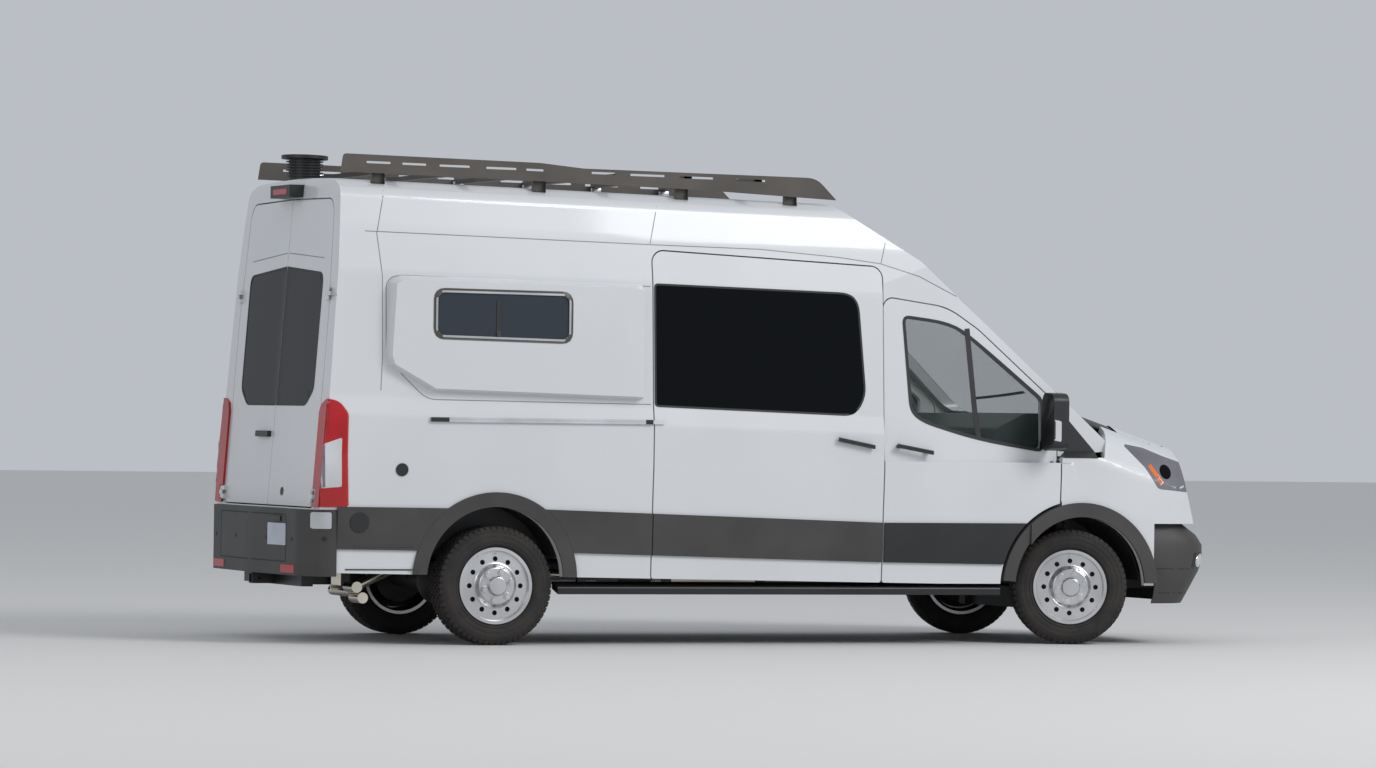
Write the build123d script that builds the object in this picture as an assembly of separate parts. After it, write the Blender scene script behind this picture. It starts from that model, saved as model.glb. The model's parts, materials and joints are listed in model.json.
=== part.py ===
from build123d import *
import os
from math import atan2, cos, degrees, radians, sin, sqrt, tan

# Camper van: a high-roof panel van turned into a camper.
# Millimetres, +X forward, +Y left, +Z up. Sizes along X are written from the rear axle, and
# every piece is moved at the end so that the origin is on the ground at half the length.

# Overall sizes
WHEELBASE = 3750.0
FRONT_OVERHANG = 1023.0
REAR_OVERHANG = 1208.0
FRONT_TRACK = 1732.0
REAR_TRACK = 1743.0
GROUND_CLEARANCE = 250.0
FRONT_AXLE_X = WHEELBASE
NOSE_X = WHEELBASE + FRONT_OVERHANG
TAIL_X = -REAR_OVERHANG
MID_X = (NOSE_X + TAIL_X) / 2
REACH = 1400.0

# Walls, gaps and running clearances
WALL = 60.0
SEAM = 7.0
DOOR_GAP = 8.0
GLASS_T = 6.0
GLASS_SINK = 1.0
GLASS_EDGE = 0.8
SEAT_GAP = 0.3
CLAD_PROUD = 14.0
FLARE_PROUD = 16.0
FIT_GAP = 0.8
SEAL_GAP = 0.3
FENDER_T = 40.0

# Body side section: half width at each height
BODY_HALF = 1030.0
SECTION = [  # z, inset from BODY_HALF, corner radius
    (100, 46, 0), (850, 12, 400), (1060, 0, 300), (1292, 0, 120), (1405, 19, 120),
    (2130, 56, 300), (2400, 100, 700), (2618, 148, 110),
]
ROOF_CROWN_Z = 2690.0
ROOF_EDGE_Z = 2668.0
ROOF_CROWN_R = 12000.0
SILL_Z = 400.0
SILL_X = 460.0
SILL_SLOPE = -0.0135

# Rear face
REAR_FACE_X = -1090.0
REAR_FACE_Z = 880.0
REAR_LEAN = 4.4
BODY_BOTTOM_Z = 375.0
REAR_SKIRT_Z = 500.0
REAR_BUMPER_TOP = 785.0
REAR_BUMPER_LOW = 400.0
REAR_BUMPER_T = 16.0
SECTION_X = 957.0
SECTION_FALL = 0.0245
FLOOR_TOP_Z = 700.0
FLOOR_T = 40.0

# Roof, forehead, windscreen and hood lines at the middle of the van: x, z
ROOF_REAR_RADIUS = 70.0
FOREHEAD_X = 2330.0
FOREHEAD_Z = 2608.0
FOREHEAD_SLOPE = 0.568
SCREEN_TOP = (2960.0, 2275.0)
SCREEN_SLOPE = 0.862
SCREEN_PLAN_R = 2000.0
FOREHEAD_PLAN_R = 2600.0
FIREWALL_X = 3700.0
COWL_Z = 1215.0
COWL_X = 4040.0
CAB_TAPER_X = 2440.0
CAB_TAPER = 0.045
BELT_Z = 1100.0
FIREWALL_HALF = 880.0
COWL_GAP = 90.0

# Nose
NOSE_PLAN_R = 3000.0
NOSE_CORNER_R = 300.0
HOOD_LINE = [(3700, 1475), (4000, 1385), (4330, 1290), (4500, 1212), (4600, 1080)]
FACE_TOP = (4585.0, 1100.0)
FACE_LEAN = 0.27
NOSE_SHOULDER_SLOPE = 0.33
NOSE_SECTION = [(860, 6, 300), (1110, 12, 200), (1290, 105, 180), (1388, 330, 500)]  # z, inset, radius
FENDER_X = 3602.0

# Wheels
TYRE_R = 348.0
TYRE_W = 225.0
RIM_R = 224.5
RIM_W = 196.0
ARCH_R = 424.0
FLARE_R = 508.0
ARCH_RISE_FRONT = 4.0
ARCH_RISE_REAR = 40.0
STEER_AT_REST = 17.0
KINGPIN_Y = 790.0
LINER_T = 8.0


def corner_points(points):
    # Turns (a, b, radius) corners into a list of line ends and arcs: (start, middle, end) for arcs.
    pieces = []
    count = len(points)
    for i in range(count):
        a0, b0 = points[i - 1][0], points[i - 1][1]
        a1, b1 = points[i][0], points[i][1]
        a2, b2 = points[(i + 1) % count][0], points[(i + 1) % count][1]
        radius = points[i][2] if len(points[i]) > 2 else 0
        if radius <= 0:
            pieces.append(((a1, b1),))
            continue
        la, lb = sqrt((a0 - a1) ** 2 + (b0 - b1) ** 2), sqrt((a2 - a1) ** 2 + (b2 - b1) ** 2)
        u = ((a0 - a1) / la, (b0 - b1) / la)
        v = ((a2 - a1) / lb, (b2 - b1) / lb)
        dot = max(-1.0, min(1.0, u[0] * v[0] + u[1] * v[1]))
        half = atan2(sqrt(max(0.0, 1 - dot * dot)), dot) / 2
        if abs(half - radians(90)) < 1e-4:
            pieces.append(((a1, b1),))
            continue
        reach = min(radius / tan(half), 0.49 * la, 0.49 * lb)
        used = reach * tan(half)
        start = (a1 + u[0] * reach, b1 + u[1] * reach)
        end = (a1 + v[0] * reach, b1 + v[1] * reach)
        mid_u = (u[0] + v[0], u[1] + v[1])
        size = sqrt(mid_u[0] ** 2 + mid_u[1] ** 2)
        depth = used / sin(half) - used
        middle = (a1 + mid_u[0] / size * depth, b1 + mid_u[1] / size * depth)
        pieces.append((start, middle, end))
    return pieces


def outline_wire(points, place):
    pieces = corner_points(points)
    edges = []
    for i, piece in enumerate(pieces):
        if len(piece) == 3:
            edges.append(Edge.make_three_point_arc(*[place(p) for p in piece]))
        after = pieces[(i + 1) % len(pieces)][0]
        here = piece[-1]
        if (here[0] - after[0]) ** 2 + (here[1] - after[1]) ** 2 > 1e-6:
            edges.append(Edge.make_line(place(here), place(after)))
    return Wire(edges)


def slab_x(points, low, high):
    # Outline of (y, z, radius), pushed along X.
    wire = outline_wire(points, lambda p: Vector(low, p[0], p[1]))
    return Solid.extrude(Face(wire), Vector(high - low, 0, 0))


def slab_y(points, low, high):
    # Outline of (x, z, radius), pushed along Y.
    wire = outline_wire(points, lambda p: Vector(p[0], low, p[1]))
    return Solid.extrude(Face(wire), Vector(0, high - low, 0))


def slab_z(points, low, high):
    # Outline of (x, y, radius), pushed along Z.
    wire = outline_wire(points, lambda p: Vector(p[0], p[1], low))
    return Solid.extrude(Face(wire), Vector(0, 0, high - low))


def block(x0, x1, y0, y1, z0, z1):
    return Pos((x0 + x1) / 2, (y0 + y1) / 2, (z0 + z1) / 2) * Box(x1 - x0, y1 - y0, z1 - z0)


def rod_y(x, z, radius, y0, y1):
    return Pos(x, (y0 + y1) / 2, z) * Rot(90, 0, 0) * Cylinder(radius, abs(y1 - y0))


def rod_x(y, z, radius, x0, x1):
    return Pos((x0 + x1) / 2, y, z) * Rot(0, 90, 0) * Cylinder(radius, abs(x1 - x0))


def rod_z(x, y, radius, z0, z1):
    return Pos(x, y, (z0 + z1) / 2) * Cylinder(radius, z1 - z0)


def solids_of(shape):
    found = shape if isinstance(shape, (list, tuple)) else [shape]
    result = []
    for item in found:
        result += list(item.solids())
    return [s for s in result if s.volume > 50]


def mirrored(shape):
    return [s.mirror(Plane.XZ) for s in solids_of(shape)]


def rear_x(z):
    return REAR_FACE_X + (z - REAR_FACE_Z) * tan(radians(REAR_LEAN))


def section(inset):
    # Cross-section of the body at SECTION_X, drawn in by inset.
    right = [(-(BODY_HALF - i - inset), z, r) for z, i, r in SECTION]
    top = ROOF_CROWN_Z - inset
    edge_y = BODY_HALF - SECTION[-1][1] - inset
    lift = ROOF_EDGE_Z - ROOF_CROWN_Z
    right[-1] = (-edge_y, SECTION[-1][0] - inset * 0.5, SECTION[-1][2])
    left = [(-y, z, r) for y, z, r in reversed(right)]
    ridge = [(-0.82 * edge_y, top + lift, 140), (0.0, top, ROOF_CROWN_R), (0.82 * edge_y, top + lift, 140)]
    return right + ridge + left


def screen_x(z):
    return SCREEN_TOP[0] + (SCREEN_TOP[1] - z) / SCREEN_SLOPE


def leaning_front(x_at_z0, z0, z1, lean, plan_r, corner_r=0.0, corner_y=0.0):
    # A long block with a curved front, pushed up along a slope; lean is the run back per unit of rise.
    edge_y = REACH
    sag = plan_r - sqrt(plan_r ** 2 - edge_y ** 2)
    start = Vector(x_at_z0 - sag, -edge_y, z0)
    middle = Vector(x_at_z0, 0, z0)
    end = Vector(x_at_z0 - sag, edge_y, z0)
    back = TAIL_X - REACH * 2
    edges = [
        Edge.make_three_point_arc(start, middle, end),
        Edge.make_line(end, Vector(back, edge_y, z0)),
        Edge.make_line(Vector(back, edge_y, z0), Vector(back, -edge_y, z0)),
        Edge.make_line(Vector(back, -edge_y, z0), start),
    ]
    push = Vector(-(z1 - z0) * lean, 0, z1 - z0)
    return Solid.extrude(Face(Wire(edges)), push)


def sill_z(x):
    return SILL_Z + SILL_SLOPE * (x - SILL_X)


def roof_z(x, inset=0.0):
    return ROOF_CROWN_Z - inset - SECTION_FALL * (x - SECTION_X)


def cab_form(inset, below):
    # The cab and load space as one smooth solid, drawn in by inset on every side, its bottom
    # edge lowered by below.
    low_x, high_x = TAIL_X - 200, COWL_X + 300
    x_front = FOREHEAD_X + REACH * 1.6
    rear_top = rear_x(ROOF_CROWN_Z) + inset
    side = [
        (rear_x(SILL_Z) + inset, sill_z(TAIL_X) - below),
        (rear_top, roof_z(rear_top, inset) + 10, ROOF_REAR_RADIUS),
        (x_front, roof_z(x_front, inset) + 10),
        (x_front, COWL_Z + inset * 0.5),
        (FIREWALL_X - inset, COWL_Z + inset * 0.5 - 60, 40),
        (FIREWALL_X - inset, sill_z(FIREWALL_X) - below),
    ]
    start_z = SECTION_FALL * (SECTION_X - low_x)
    wire = outline_wire(section(inset), lambda p: Vector(low_x, p[0], p[1] + start_z))
    push = Vector(high_x - low_x, 0, -SECTION_FALL * (high_x - low_x))
    form = Solid.extrude(Face(wire), push) & slab_y(side, -REACH, REACH)
    z0 = 300.0
    run = inset * sqrt(1 + SCREEN_SLOPE ** 2) / SCREEN_SLOPE
    form = form & leaning_front(screen_x(z0) - run, z0, ROOF_CROWN_Z + 200, 1 / SCREEN_SLOPE,
                                SCREEN_PLAN_R)
    forehead_x = FOREHEAD_X + (FOREHEAD_Z - z0) / FOREHEAD_SLOPE
    run = inset * sqrt(1 + FOREHEAD_SLOPE ** 2) / FOREHEAD_SLOPE
    form = form & leaning_front(forehead_x - run, z0, ROOF_CROWN_Z + 200, 1 / FOREHEAD_SLOPE,
                                FOREHEAD_PLAN_R)
    for side_sign in (-1, 1):
        y_at_start = BODY_HALF - 12 - inset
        reach_x = COWL_X + 400
        taper = [(CAB_TAPER_X, side_sign * y_at_start),
                 (reach_x, side_sign * (y_at_start - (reach_x - CAB_TAPER_X) * CAB_TAPER)),
                 (reach_x, side_sign * REACH), (CAB_TAPER_X, side_sign * REACH)]
        wire = outline_wire(taper, lambda p: Vector(p[0], p[1], BELT_Z))
        lean_in = Vector(0, -side_sign * 0.052 * REACH, REACH)
        form = form - Solid.extrude(Face(wire), lean_in)
    return form


def nose_form(inset, bottom):
    # Hood, fenders and front face as one solid, drawn in by inset.
    half = BODY_HALF - inset
    top = 1420.0 - inset
    start_x, end_x = FENDER_X - 300, NOSE_X + 100
    rise = (end_x - start_x) * NOSE_SHOULDER_SLOPE
    base_x = 3900.0
    lift = (base_x - start_x) * NOSE_SHOULDER_SLOPE
    right = [(-half + 12, bottom - 900)]
    right += [(-half + in_y, z - inset * 0.5 + lift, r) for z, in_y, r in NOSE_SECTION]
    left = [(-y,) + tuple(rest) for y, *rest in reversed(right)]
    right.append((0, top + lift + 20, 6000))
    wire = outline_wire(right + left, lambda p: Vector(start_x, p[0], p[1]))
    shoulders = Solid.extrude(Face(wire), Vector(end_x - start_x, 0, -rise))
    side = [(FENDER_X - 200, bottom)]
    side += [(x, z - inset, 300) for x, z in HOOD_LINE]
    side[1] = (FENDER_X - 200, HOOD_LINE[0][1] - inset)
    side += [(NOSE_X, FACE_TOP[1] - 200), (NOSE_X, bottom)]
    form = shoulders & slab_y(side, -REACH, REACH)
    z0 = bottom - 10
    front_x = FACE_TOP[0] + (FACE_TOP[1] - z0) * FACE_LEAN - inset
    form = form & leaning_front(front_x, z0, 1700, FACE_LEAN, NOSE_PLAN_R)
    corner_x = front_x - 560
    plan = [(0, -REACH), (corner_x - 400, -REACH), (corner_x - 400, -half - 20),
            (corner_x + 120, -half, 500), (front_x + 60, -half + 240, 400), (front_x + 400, -half + 300),
            (front_x + 400, half - 300), (front_x + 60, half - 240, 400), (corner_x + 120, half, 500),
            (corner_x - 400, half + 20), (corner_x - 400, REACH), (0, REACH)]
    return form & slab_z(plan, bottom - 50, 1800)


def bumper_form(inset, bottom):
    half = BODY_HALF - inset
    side = [(FENDER_X, bottom), (NOSE_X - 130 - inset, bottom, 60), (NOSE_X - inset, 545, 60),
            (NOSE_X - inset, 625, 40), (NOSE_X - 85 - inset, 735), (FENDER_X, 735)]
    form = slab_y(side, -REACH, REACH)
    form = form & leaning_front(NOSE_X - inset, bottom - 10, 900, 0.0, NOSE_PLAN_R)
    front_x = NOSE_X - inset
    right = [(0, -half + 18), (front_x - 148, -half + 18, 280), (front_x - 8, -half + 610, 1500)]
    plan = right + [(x, -y) + tuple(r) for x, y, *r in reversed(right)]
    return form & slab_z(plan, bottom - 50, 900)


# Seams seen from the side: x, z, corner radius
ROOF_SEAM = [(-1400, 2413), (949, 2364), (1651, 2352), (2152, 2315), (2427, 2282), (2681, 2210),
             (2960, 2080), (3120, 1975)]
B_SEAM_X = 2436.0
SLIDER_REAR_X = 957.0
SLIDER_TOP = [(957, 2330), (2432, 2259)]
FRONT_DOOR_TOP = [(2440, 2083, 60), (2865, 2026, 400), (3069, 1897, 400), (3525, 1514, 60)]
FRONT_DOOR_X = 3594.0
FRONT_DOOR_BELT = 1440.0
FRONT_WINDOW = [(2572, 1968, 40), (2890, 1932, 300), (3050, 1830, 300), (3500, 1480, 40),
                (3500, 1172, 40), (3060, 1238, 300), (2700, 1340, 90), (2618, 1400, 60)]
SIDE_WINDOW = [(970, 2130, 20), (2215, 2098, 70), (2272, 2040, 60), (2314, 1488, 60),
               (2246, 1372, 70), (970, 1412, 20)]
REAR_CORNER_SEAM_X = -790.0

# Side cladding between the wheels: height of the top and bottom edges at x
CLAD_TOP = [(-1150, 806), (301, 797), (2441, 732), (4300, 735)]
CLAD_BOTTOM = [(-1150, 560), (455, 543), (2429, 495), (3300, 480)]

# Rear doors
REAR_DOOR_HALF = 860.0
REAR_DOOR_TOP_HALF = 790.0
REAR_DOOR_BOTTOM = 800.0
REAR_DOOR_TOP = 2592.0
REAR_WINDOW_HALF = 700.0
REAR_WINDOW_BOTTOM = 1392.0
REAR_WINDOW_TOP = 2190.0
CENTRE_GAP = 6.0

# Hinges
FRONT_HINGE_SETBACK = 30.0
FRONT_HINGE_Y = 1000.0
REAR_HINGE_OUT = 20.0
REAR_HINGE_SIDE = 14.0
HOOD_HINGE = (4040.0, 1312.0)
HOOD_HINGE_Y = 600.0
PILLAR_Z = (770.0, 1165.0)
FRONT_HINGE_Z = (905.0, 1085.0)
HINGE_LEAF_H = 44.0
HINGE_LEAF_Y = -940.0
HINGE_PIN_R = 6.0
HINGE_PIN_REACH = 14.0
REAR_HINGE_Z = (860.0, 2040.0)
BARREL_R = 10.0
KNUCKLE_H = 12.0


def line_at(points, x):
    for (x0, z0), (x1, z1) in zip(points, points[1:]):
        if x <= x1:
            return z0 + (z1 - z0) * (x - x0) / (x1 - x0)
    return points[-1][1]


def arch_space(axle_x, rise, radius, y0, y1):
    return rod_y(axle_x, TYRE_R + rise, radius, y0, y1)


def offset_outline(points, gap):
    # Draws a convex outline in by gap, corner by corner.
    result = []
    count = len(points)
    area = sum(points[i - 1][0] * points[i][1] - points[i][0] * points[i - 1][1] for i in range(count))
    turn = 1 if area > 0 else -1
    for i in range(count):
        (ax, az), (bx, bz), (cx, cz) = points[i - 1][:2], points[i][:2], points[(i + 1) % count][:2]
        la, lc = sqrt((bx - ax) ** 2 + (bz - az) ** 2), sqrt((cx - bx) ** 2 + (cz - bz) ** 2)
        n0 = (-(bz - az) / la * turn, (bx - ax) / la * turn)
        n1 = (-(cz - bz) / lc * turn, (cx - bx) / lc * turn)
        scale = gap / (1 + n0[0] * n1[0] + n0[1] * n1[1])
        radius = points[i][2] if len(points[i]) > 2 else 0
        result.append((bx + (n0[0] + n1[0]) * scale, bz + (n0[1] + n1[1]) * scale, max(0, radius - gap)))
    return result


BELOW = 60.0
OUTER = cab_form(0, 0)
INNER = cab_form(WALL, BELOW)
GLASS_OUT = cab_form(GLASS_SINK, 0)
GLASS_IN = cab_form(GLASS_SINK + GLASS_T, BELOW)
CLAD_OUT = cab_form(-CLAD_PROUD, 0)
SHELL = OUTER - INNER
GLASS_SHELL = GLASS_OUT - GLASS_IN
NOSE_OUT = nose_form(0, BODY_BOTTOM_Z - 15)
NOSE_IN = nose_form(FENDER_T, BODY_BOTTOM_Z - 60)
NOSE_SHELL = NOSE_OUT - NOSE_IN

RIGHT = (-REACH, -300.0)
FRONT_ARCH = (FRONT_AXLE_X - 10, ARCH_RISE_FRONT)
REAR_ARCH = (-18.0, ARCH_RISE_REAR)


def front_door_outline():
    bottom = sill_z(B_SEAM_X) - 5
    back = B_SEAM_X + DOOR_GAP / 2
    return ([(back, bottom, 25), (back, FRONT_DOOR_TOP[0][1], 60)] + FRONT_DOOR_TOP[1:]
            + [(FRONT_DOOR_X, FRONT_DOOR_BELT, 60), (FRONT_DOOR_X, bottom, 10)])


def slider_outline():
    rear, front = SLIDER_REAR_X + DOOR_GAP / 2, B_SEAM_X - DOOR_GAP / 2
    return [(rear, sill_z(rear) - 5, 25), (rear, SLIDER_TOP[0][1], 70), (front, SLIDER_TOP[1][1], 70),
            (front, sill_z(front) - 5, 25)]


def rear_door_outline(side_sign):
    inner, outer = CENTRE_GAP / 2, REAR_DOOR_HALF
    points = [(inner, REAR_DOOR_BOTTOM, 8), (outer, REAR_DOOR_BOTTOM, 40), (outer, 1900, 900),
              (REAR_DOOR_TOP_HALF, REAR_DOOR_TOP, 110), (inner, REAR_DOOR_TOP + 12, 8)]
    return [(side_sign * y, z, r) for y, z, r in points]


def rear_opening_outline():
    half = REAR_DOOR_HALF + DOOR_GAP
    return [(-half, REAR_DOOR_BOTTOM - DOOR_GAP, 40), (-half, 1900, 900),
            (-REAR_DOOR_TOP_HALF - DOOR_GAP, REAR_DOOR_TOP + DOOR_GAP, 110), (0, REAR_DOOR_TOP + 20),
            (REAR_DOOR_TOP_HALF + DOOR_GAP, REAR_DOOR_TOP + DOOR_GAP, 110), (half, 1900, 900),
            (half, REAR_DOOR_BOTTOM - DOOR_GAP, 40)]


def rear_window_outline(side_sign):
    inner, outer = CENTRE_GAP / 2 + 34, REAR_WINDOW_HALF
    points = [(inner, REAR_WINDOW_BOTTOM, 30), (outer - 130, REAR_WINDOW_BOTTOM, 40),
              (outer, REAR_WINDOW_BOTTOM + 90, 40), (outer, REAR_WINDOW_TOP - 30, 60),
              (inner, REAR_WINDOW_TOP + 15, 20)]
    return [(side_sign * y, z, r) for y, z, r in points]


def arch_cuts(shape):
    for axle_x, rise in (FRONT_ARCH, REAR_ARCH):
        for side_sign in (-1, 1):
            y0, y1 = sorted((side_sign * 560.0, side_sign * REACH))
            shape = shape - arch_space(axle_x, rise, ARCH_R, y0, y1)
    return shape


def rear_region(low_x=-1400.0):
    # Wedge that holds the rear wall only.
    z0, z1 = 300.0, 2900.0
    return slab_y([(low_x, z0), (rear_x(z0) + WALL + 1, z0), (rear_x(z1) + WALL + 1, z1), (low_x, z1)],
                  -REACH, REACH)


FLARE_POD_BASE = [(-644, 2164, 40), (916, 2139, 30), (916, 1420, 30), (-426, 1454, 60), (-702, 1604, 60),
                  (-728, 1680, 60), (-704, 2122, 50)]
POD_OPENING = 60.0
SCREEN_BOTTOM_Z = 1400.0
SCREEN_TOP_Z = 2010.0
SCREEN_OUTLINE = [(-860, SCREEN_BOTTOM_Z, 60), (-760, SCREEN_TOP_Z, 70), (760, SCREEN_TOP_Z, 70),
                  (860, SCREEN_BOTTOM_Z, 60)]


def rear_skirt_space():
    # Behind the bumper the body is drawn in, and it stops above the tow bar.
    corner = block(-1300, BUMPER_SEAM_X, -REACH, REACH, 200, REAR_BUMPER_TOP + 3)
    corner = corner - slab_z(bumper_plan(REAR_BUMPER_T + 1), 100, 1000)
    return corner + block(-1300, -1000, -BODY_HALF + 90, BODY_HALF - 90, 200, REAR_SKIRT_Z)


def hinge_pillar():
    # Post behind the wing that carries the front door's hinges.
    inset = FENDER_T + DOOR_GAP
    post = cab_form(inset, 0) & block(FENDER_X, FIREWALL_X - 1, -REACH, -FIREWALL_HALF, *PILLAR_Z)
    post = post - arch_space(FRONT_ARCH[0], FRONT_ARCH[1], ARCH_R + LINER_T + SEAL_GAP, -REACH, -300)
    return post


def front_hinges():
    # Leaves and pins on the pillar: each pin runs in the door above and below its leaf.
    pieces = []
    x, y = FRONT_DOOR_X - FRONT_HINGE_SETBACK, -FRONT_HINGE_Y
    for z in FRONT_HINGE_Z:
        low, high = z - HINGE_LEAF_H / 2, z + HINGE_LEAF_H / 2
        leaf = block(x - 6, x + 6, y, HINGE_LEAF_Y, low, high)
        leaf = leaf + block(x - 6, FENDER_X + 30, HINGE_LEAF_Y - 8, HINGE_LEAF_Y, low, high)
        pin = rod_z(x, y, HINGE_PIN_R, low - HINGE_PIN_REACH, high + HINGE_PIN_REACH)
        pieces.append(leaf + rod_z(x, y, HINGE_PIN_R + 3, low, high) + pin)
    return pieces


def front_hinge_pockets(panel):
    x, y = FRONT_DOOR_X - FRONT_HINGE_SETBACK, -FRONT_HINGE_Y
    for z in FRONT_HINGE_Z:
        low, high = z - HINGE_LEAF_H / 2 - 3, z + HINGE_LEAF_H / 2 + 3
        panel = panel - block(x - 12, FRONT_DOOR_X + 20, y - 12, -800, low, high)
        panel = panel - rod_z(x, y, HINGE_PIN_R + SEAL_GAP, low - HINGE_PIN_REACH, high + HINGE_PIN_REACH)
    return panel


def rear_hinge_line(z, out):
    return rear_x(z) - out


def rear_hinge(side_sign, on_body):
    # One barrel of three knuckles at each height: the middle one is the body's, with the pin.
    pieces = []
    y = side_sign * (REAR_DOOR_HALF + REAR_HINGE_SIDE)
    for z in REAR_HINGE_Z:
        tilt = Pos(rear_hinge_line(z, REAR_HINGE_OUT), y, z) * Rot(0, REAR_LEAN, 0)
        mid = Cylinder(BARREL_R, 2 * KNUCKLE_H)
        pin = Cylinder(HINGE_PIN_R - 2, 6 * KNUCKLE_H)
        if on_body:
            plate = Pos(REAR_HINGE_OUT / 2, side_sign * 20, 0) * Box(REAR_HINGE_OUT + 10, 28, 2 * KNUCKLE_H)
            pieces.append(tilt * (mid + pin + plate))
        else:
            for end in (-1, 1):
                at = end * (2 * KNUCKLE_H + SEAL_GAP)
                leaf = Pos(0, 0, at) * Cylinder(BARREL_R, 2 * KNUCKLE_H)
                leaf = leaf + Pos(0, -side_sign * 18, at) * Box(10, 36, 2 * KNUCKLE_H)
                leaf = leaf + Pos(REAR_HINGE_OUT / 2, -side_sign * 40, at) * Box(REAR_HINGE_OUT + 10, 24, 2 * KNUCKLE_H)
                pieces.append(tilt * (leaf - Cylinder(HINGE_PIN_R - 2 + SEAL_GAP, 8 * KNUCKLE_H)))
    return pieces


def body_side_right():
    shape = arch_cuts(SHELL)
    roof_line = [(x, z) for x, z in ROOF_SEAM]
    under_roof = roof_line + [(3300, 1850), (COWL_X + 400, 1850), (COWL_X + 400, 200), (-1400, 200)]
    shape = shape & slab_y(under_roof, -REACH, -1.0)
    shape = shape - slab_y(offset_outline(front_door_outline(), -DOOR_GAP), *RIGHT)
    shape = shape - slab_y(offset_outline(slider_outline(), -DOOR_GAP), *RIGHT)
    shape = shape - arch_space(FRONT_ARCH[0], FRONT_ARCH[1], FLARE_R + 12, -REACH, -300)
    shape = shape - block(FENDER_X - 12, COWL_X + 600, -REACH, 0, 0, 1140)
    shape = shape - block(FIREWALL_X - WALL - 30, COWL_X + 600, -FIREWALL_HALF, 0, 0, SCREEN_BOTTOM_Z + 10)
    shape = shape - slab_x(offset_outline(SCREEN_OUTLINE, -GLASS_EDGE), 2500, COWL_X + 600)
    shape = shape - slab_x(rear_opening_outline(), -1400, -900) - rear_skirt_space()
    shape = shape - slab_y(offset_outline(FLARE_POD_BASE, POD_OPENING), *RIGHT)
    shape = shape + hinge_pillar()
    for hinge in front_hinges() + rear_hinge(-1, True):
        shape = shape + hinge
    return [s for s in solids_of(shape) if s.volume > 1e5]


def body_side_left():
    shape = arch_cuts(SHELL)
    roof_line = [(x, z) for x, z in ROOF_SEAM]
    under_roof = roof_line + [(3300, 1850), (COWL_X + 400, 1850), (COWL_X + 400, 200), (-1400, 200)]
    shape = shape & slab_y(under_roof, 1.0, REACH)
    shape = shape - slab_y(offset_outline(front_door_outline(), -DOOR_GAP), 300, REACH)
    shape = shape - slab_y(offset_outline(SIDE_WINDOW, -GLASS_EDGE), 300, REACH)
    shape = shape - arch_space(FRONT_ARCH[0], FRONT_ARCH[1], FLARE_R + 12, 300, REACH)
    shape = shape - block(FENDER_X - 12, COWL_X + 600, 0, REACH, 0, 1140)
    shape = shape - block(FIREWALL_X - WALL - 30, COWL_X + 600, 0, FIREWALL_HALF, 0, SCREEN_BOTTOM_Z + 10)
    shape = shape - slab_x(offset_outline(SCREEN_OUTLINE, -GLASS_EDGE), 2500, COWL_X + 600)
    shape = shape - slab_x(rear_opening_outline(), -1400, -900) - rear_skirt_space()
    shape = shape - slab_y(offset_outline(FLARE_POD_BASE, POD_OPENING), 300, REACH)
    for hinge in mirrored(hinge_pillar()) + mirrored(front_hinges()) + rear_hinge(1, True):
        shape = shape + hinge
    return [s for s in solids_of(shape) if s.volume > 1e5]


def roof():
    above = [(x, z) for x, z in ROOF_SEAM] + [(3300, 1852), (3600, 1852), (3600, 3000), (-1400, 3000)]
    shape = SHELL & slab_y(above, -REACH, REACH)
    shape = shape - slab_x(offset_outline(SCREEN_OUTLINE, -GLASS_EDGE), 2500, COWL_X + 600)
    shape = shape - slab_x(rear_opening_outline(), -1400, -900)
    return [s for s in solids_of(shape) if s.volume > 1e5]


def both(pieces):
    return solids_of(pieces) + mirrored(pieces)


def windscreen():
    shape = GLASS_SHELL & slab_x(SCREEN_OUTLINE, 2500, COWL_X + 600)
    return [s for s in solids_of(shape) if s.volume > 1e5]


def side_glass():
    # Dark glass of the sliding door and, on the left, of the wall across from it.
    pane = GLASS_SHELL & slab_y(SIDE_WINDOW, *RIGHT)
    return both(pane)


def sliding_door():
    outline = slider_outline()
    skin = SHELL & slab_y(outline, *RIGHT)
    skin = skin - slab_y(offset_outline(SIDE_WINDOW, -GLASS_EDGE), *RIGHT)
    arm_y = -BODY_HALF - 12
    arm = block(RAIL_X[1] + SEAL_GAP, SLIDER_REAR_X + 60, arm_y, -BODY_HALF + 30, RAIL_Z[0] + 2, RAIL_Z[1] - 2)
    return solids_of(skin + (arm - OUTER))


RAIL_X = (-440.0, 945.0)
RAIL_Z = (1302.0, 1330.0)


def door_rail():
    # Runner of the sliding door along the rear quarter.
    rail = block(*RAIL_X, -BODY_HALF - 14, -BODY_HALF + 30, *RAIL_Z)
    return solids_of(rail - OUTER)


def front_door_space(inner_step):
    outline = offset_outline(front_door_outline(), inner_step)
    return slab_y(outline, *RIGHT) - arch_space(FRONT_ARCH[0], FRONT_ARCH[1],
                                                FLARE_R + 12 + DOOR_GAP * 0.5 + inner_step, -REACH, -300)


def front_door():
    panel = SHELL & front_door_space(0)
    panel = panel - slab_y(offset_outline(FRONT_WINDOW, -GLASS_EDGE), *RIGHT)
    panel = front_hinge_pockets(panel)
    return [s for s in solids_of(panel) if s.volume > 1e5]


def front_door_glass():
    pane = GLASS_SHELL & slab_y(FRONT_WINDOW, -REACH, -800)
    return [s for s in solids_of(pane) if s.volume > 1e5]


MIRROR_X = 3470.0
MIRROR_OUT_Y = 1237.0
MIRROR_BOTTOM = 1172.0
MIRROR_TOP = 1526.0


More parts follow.
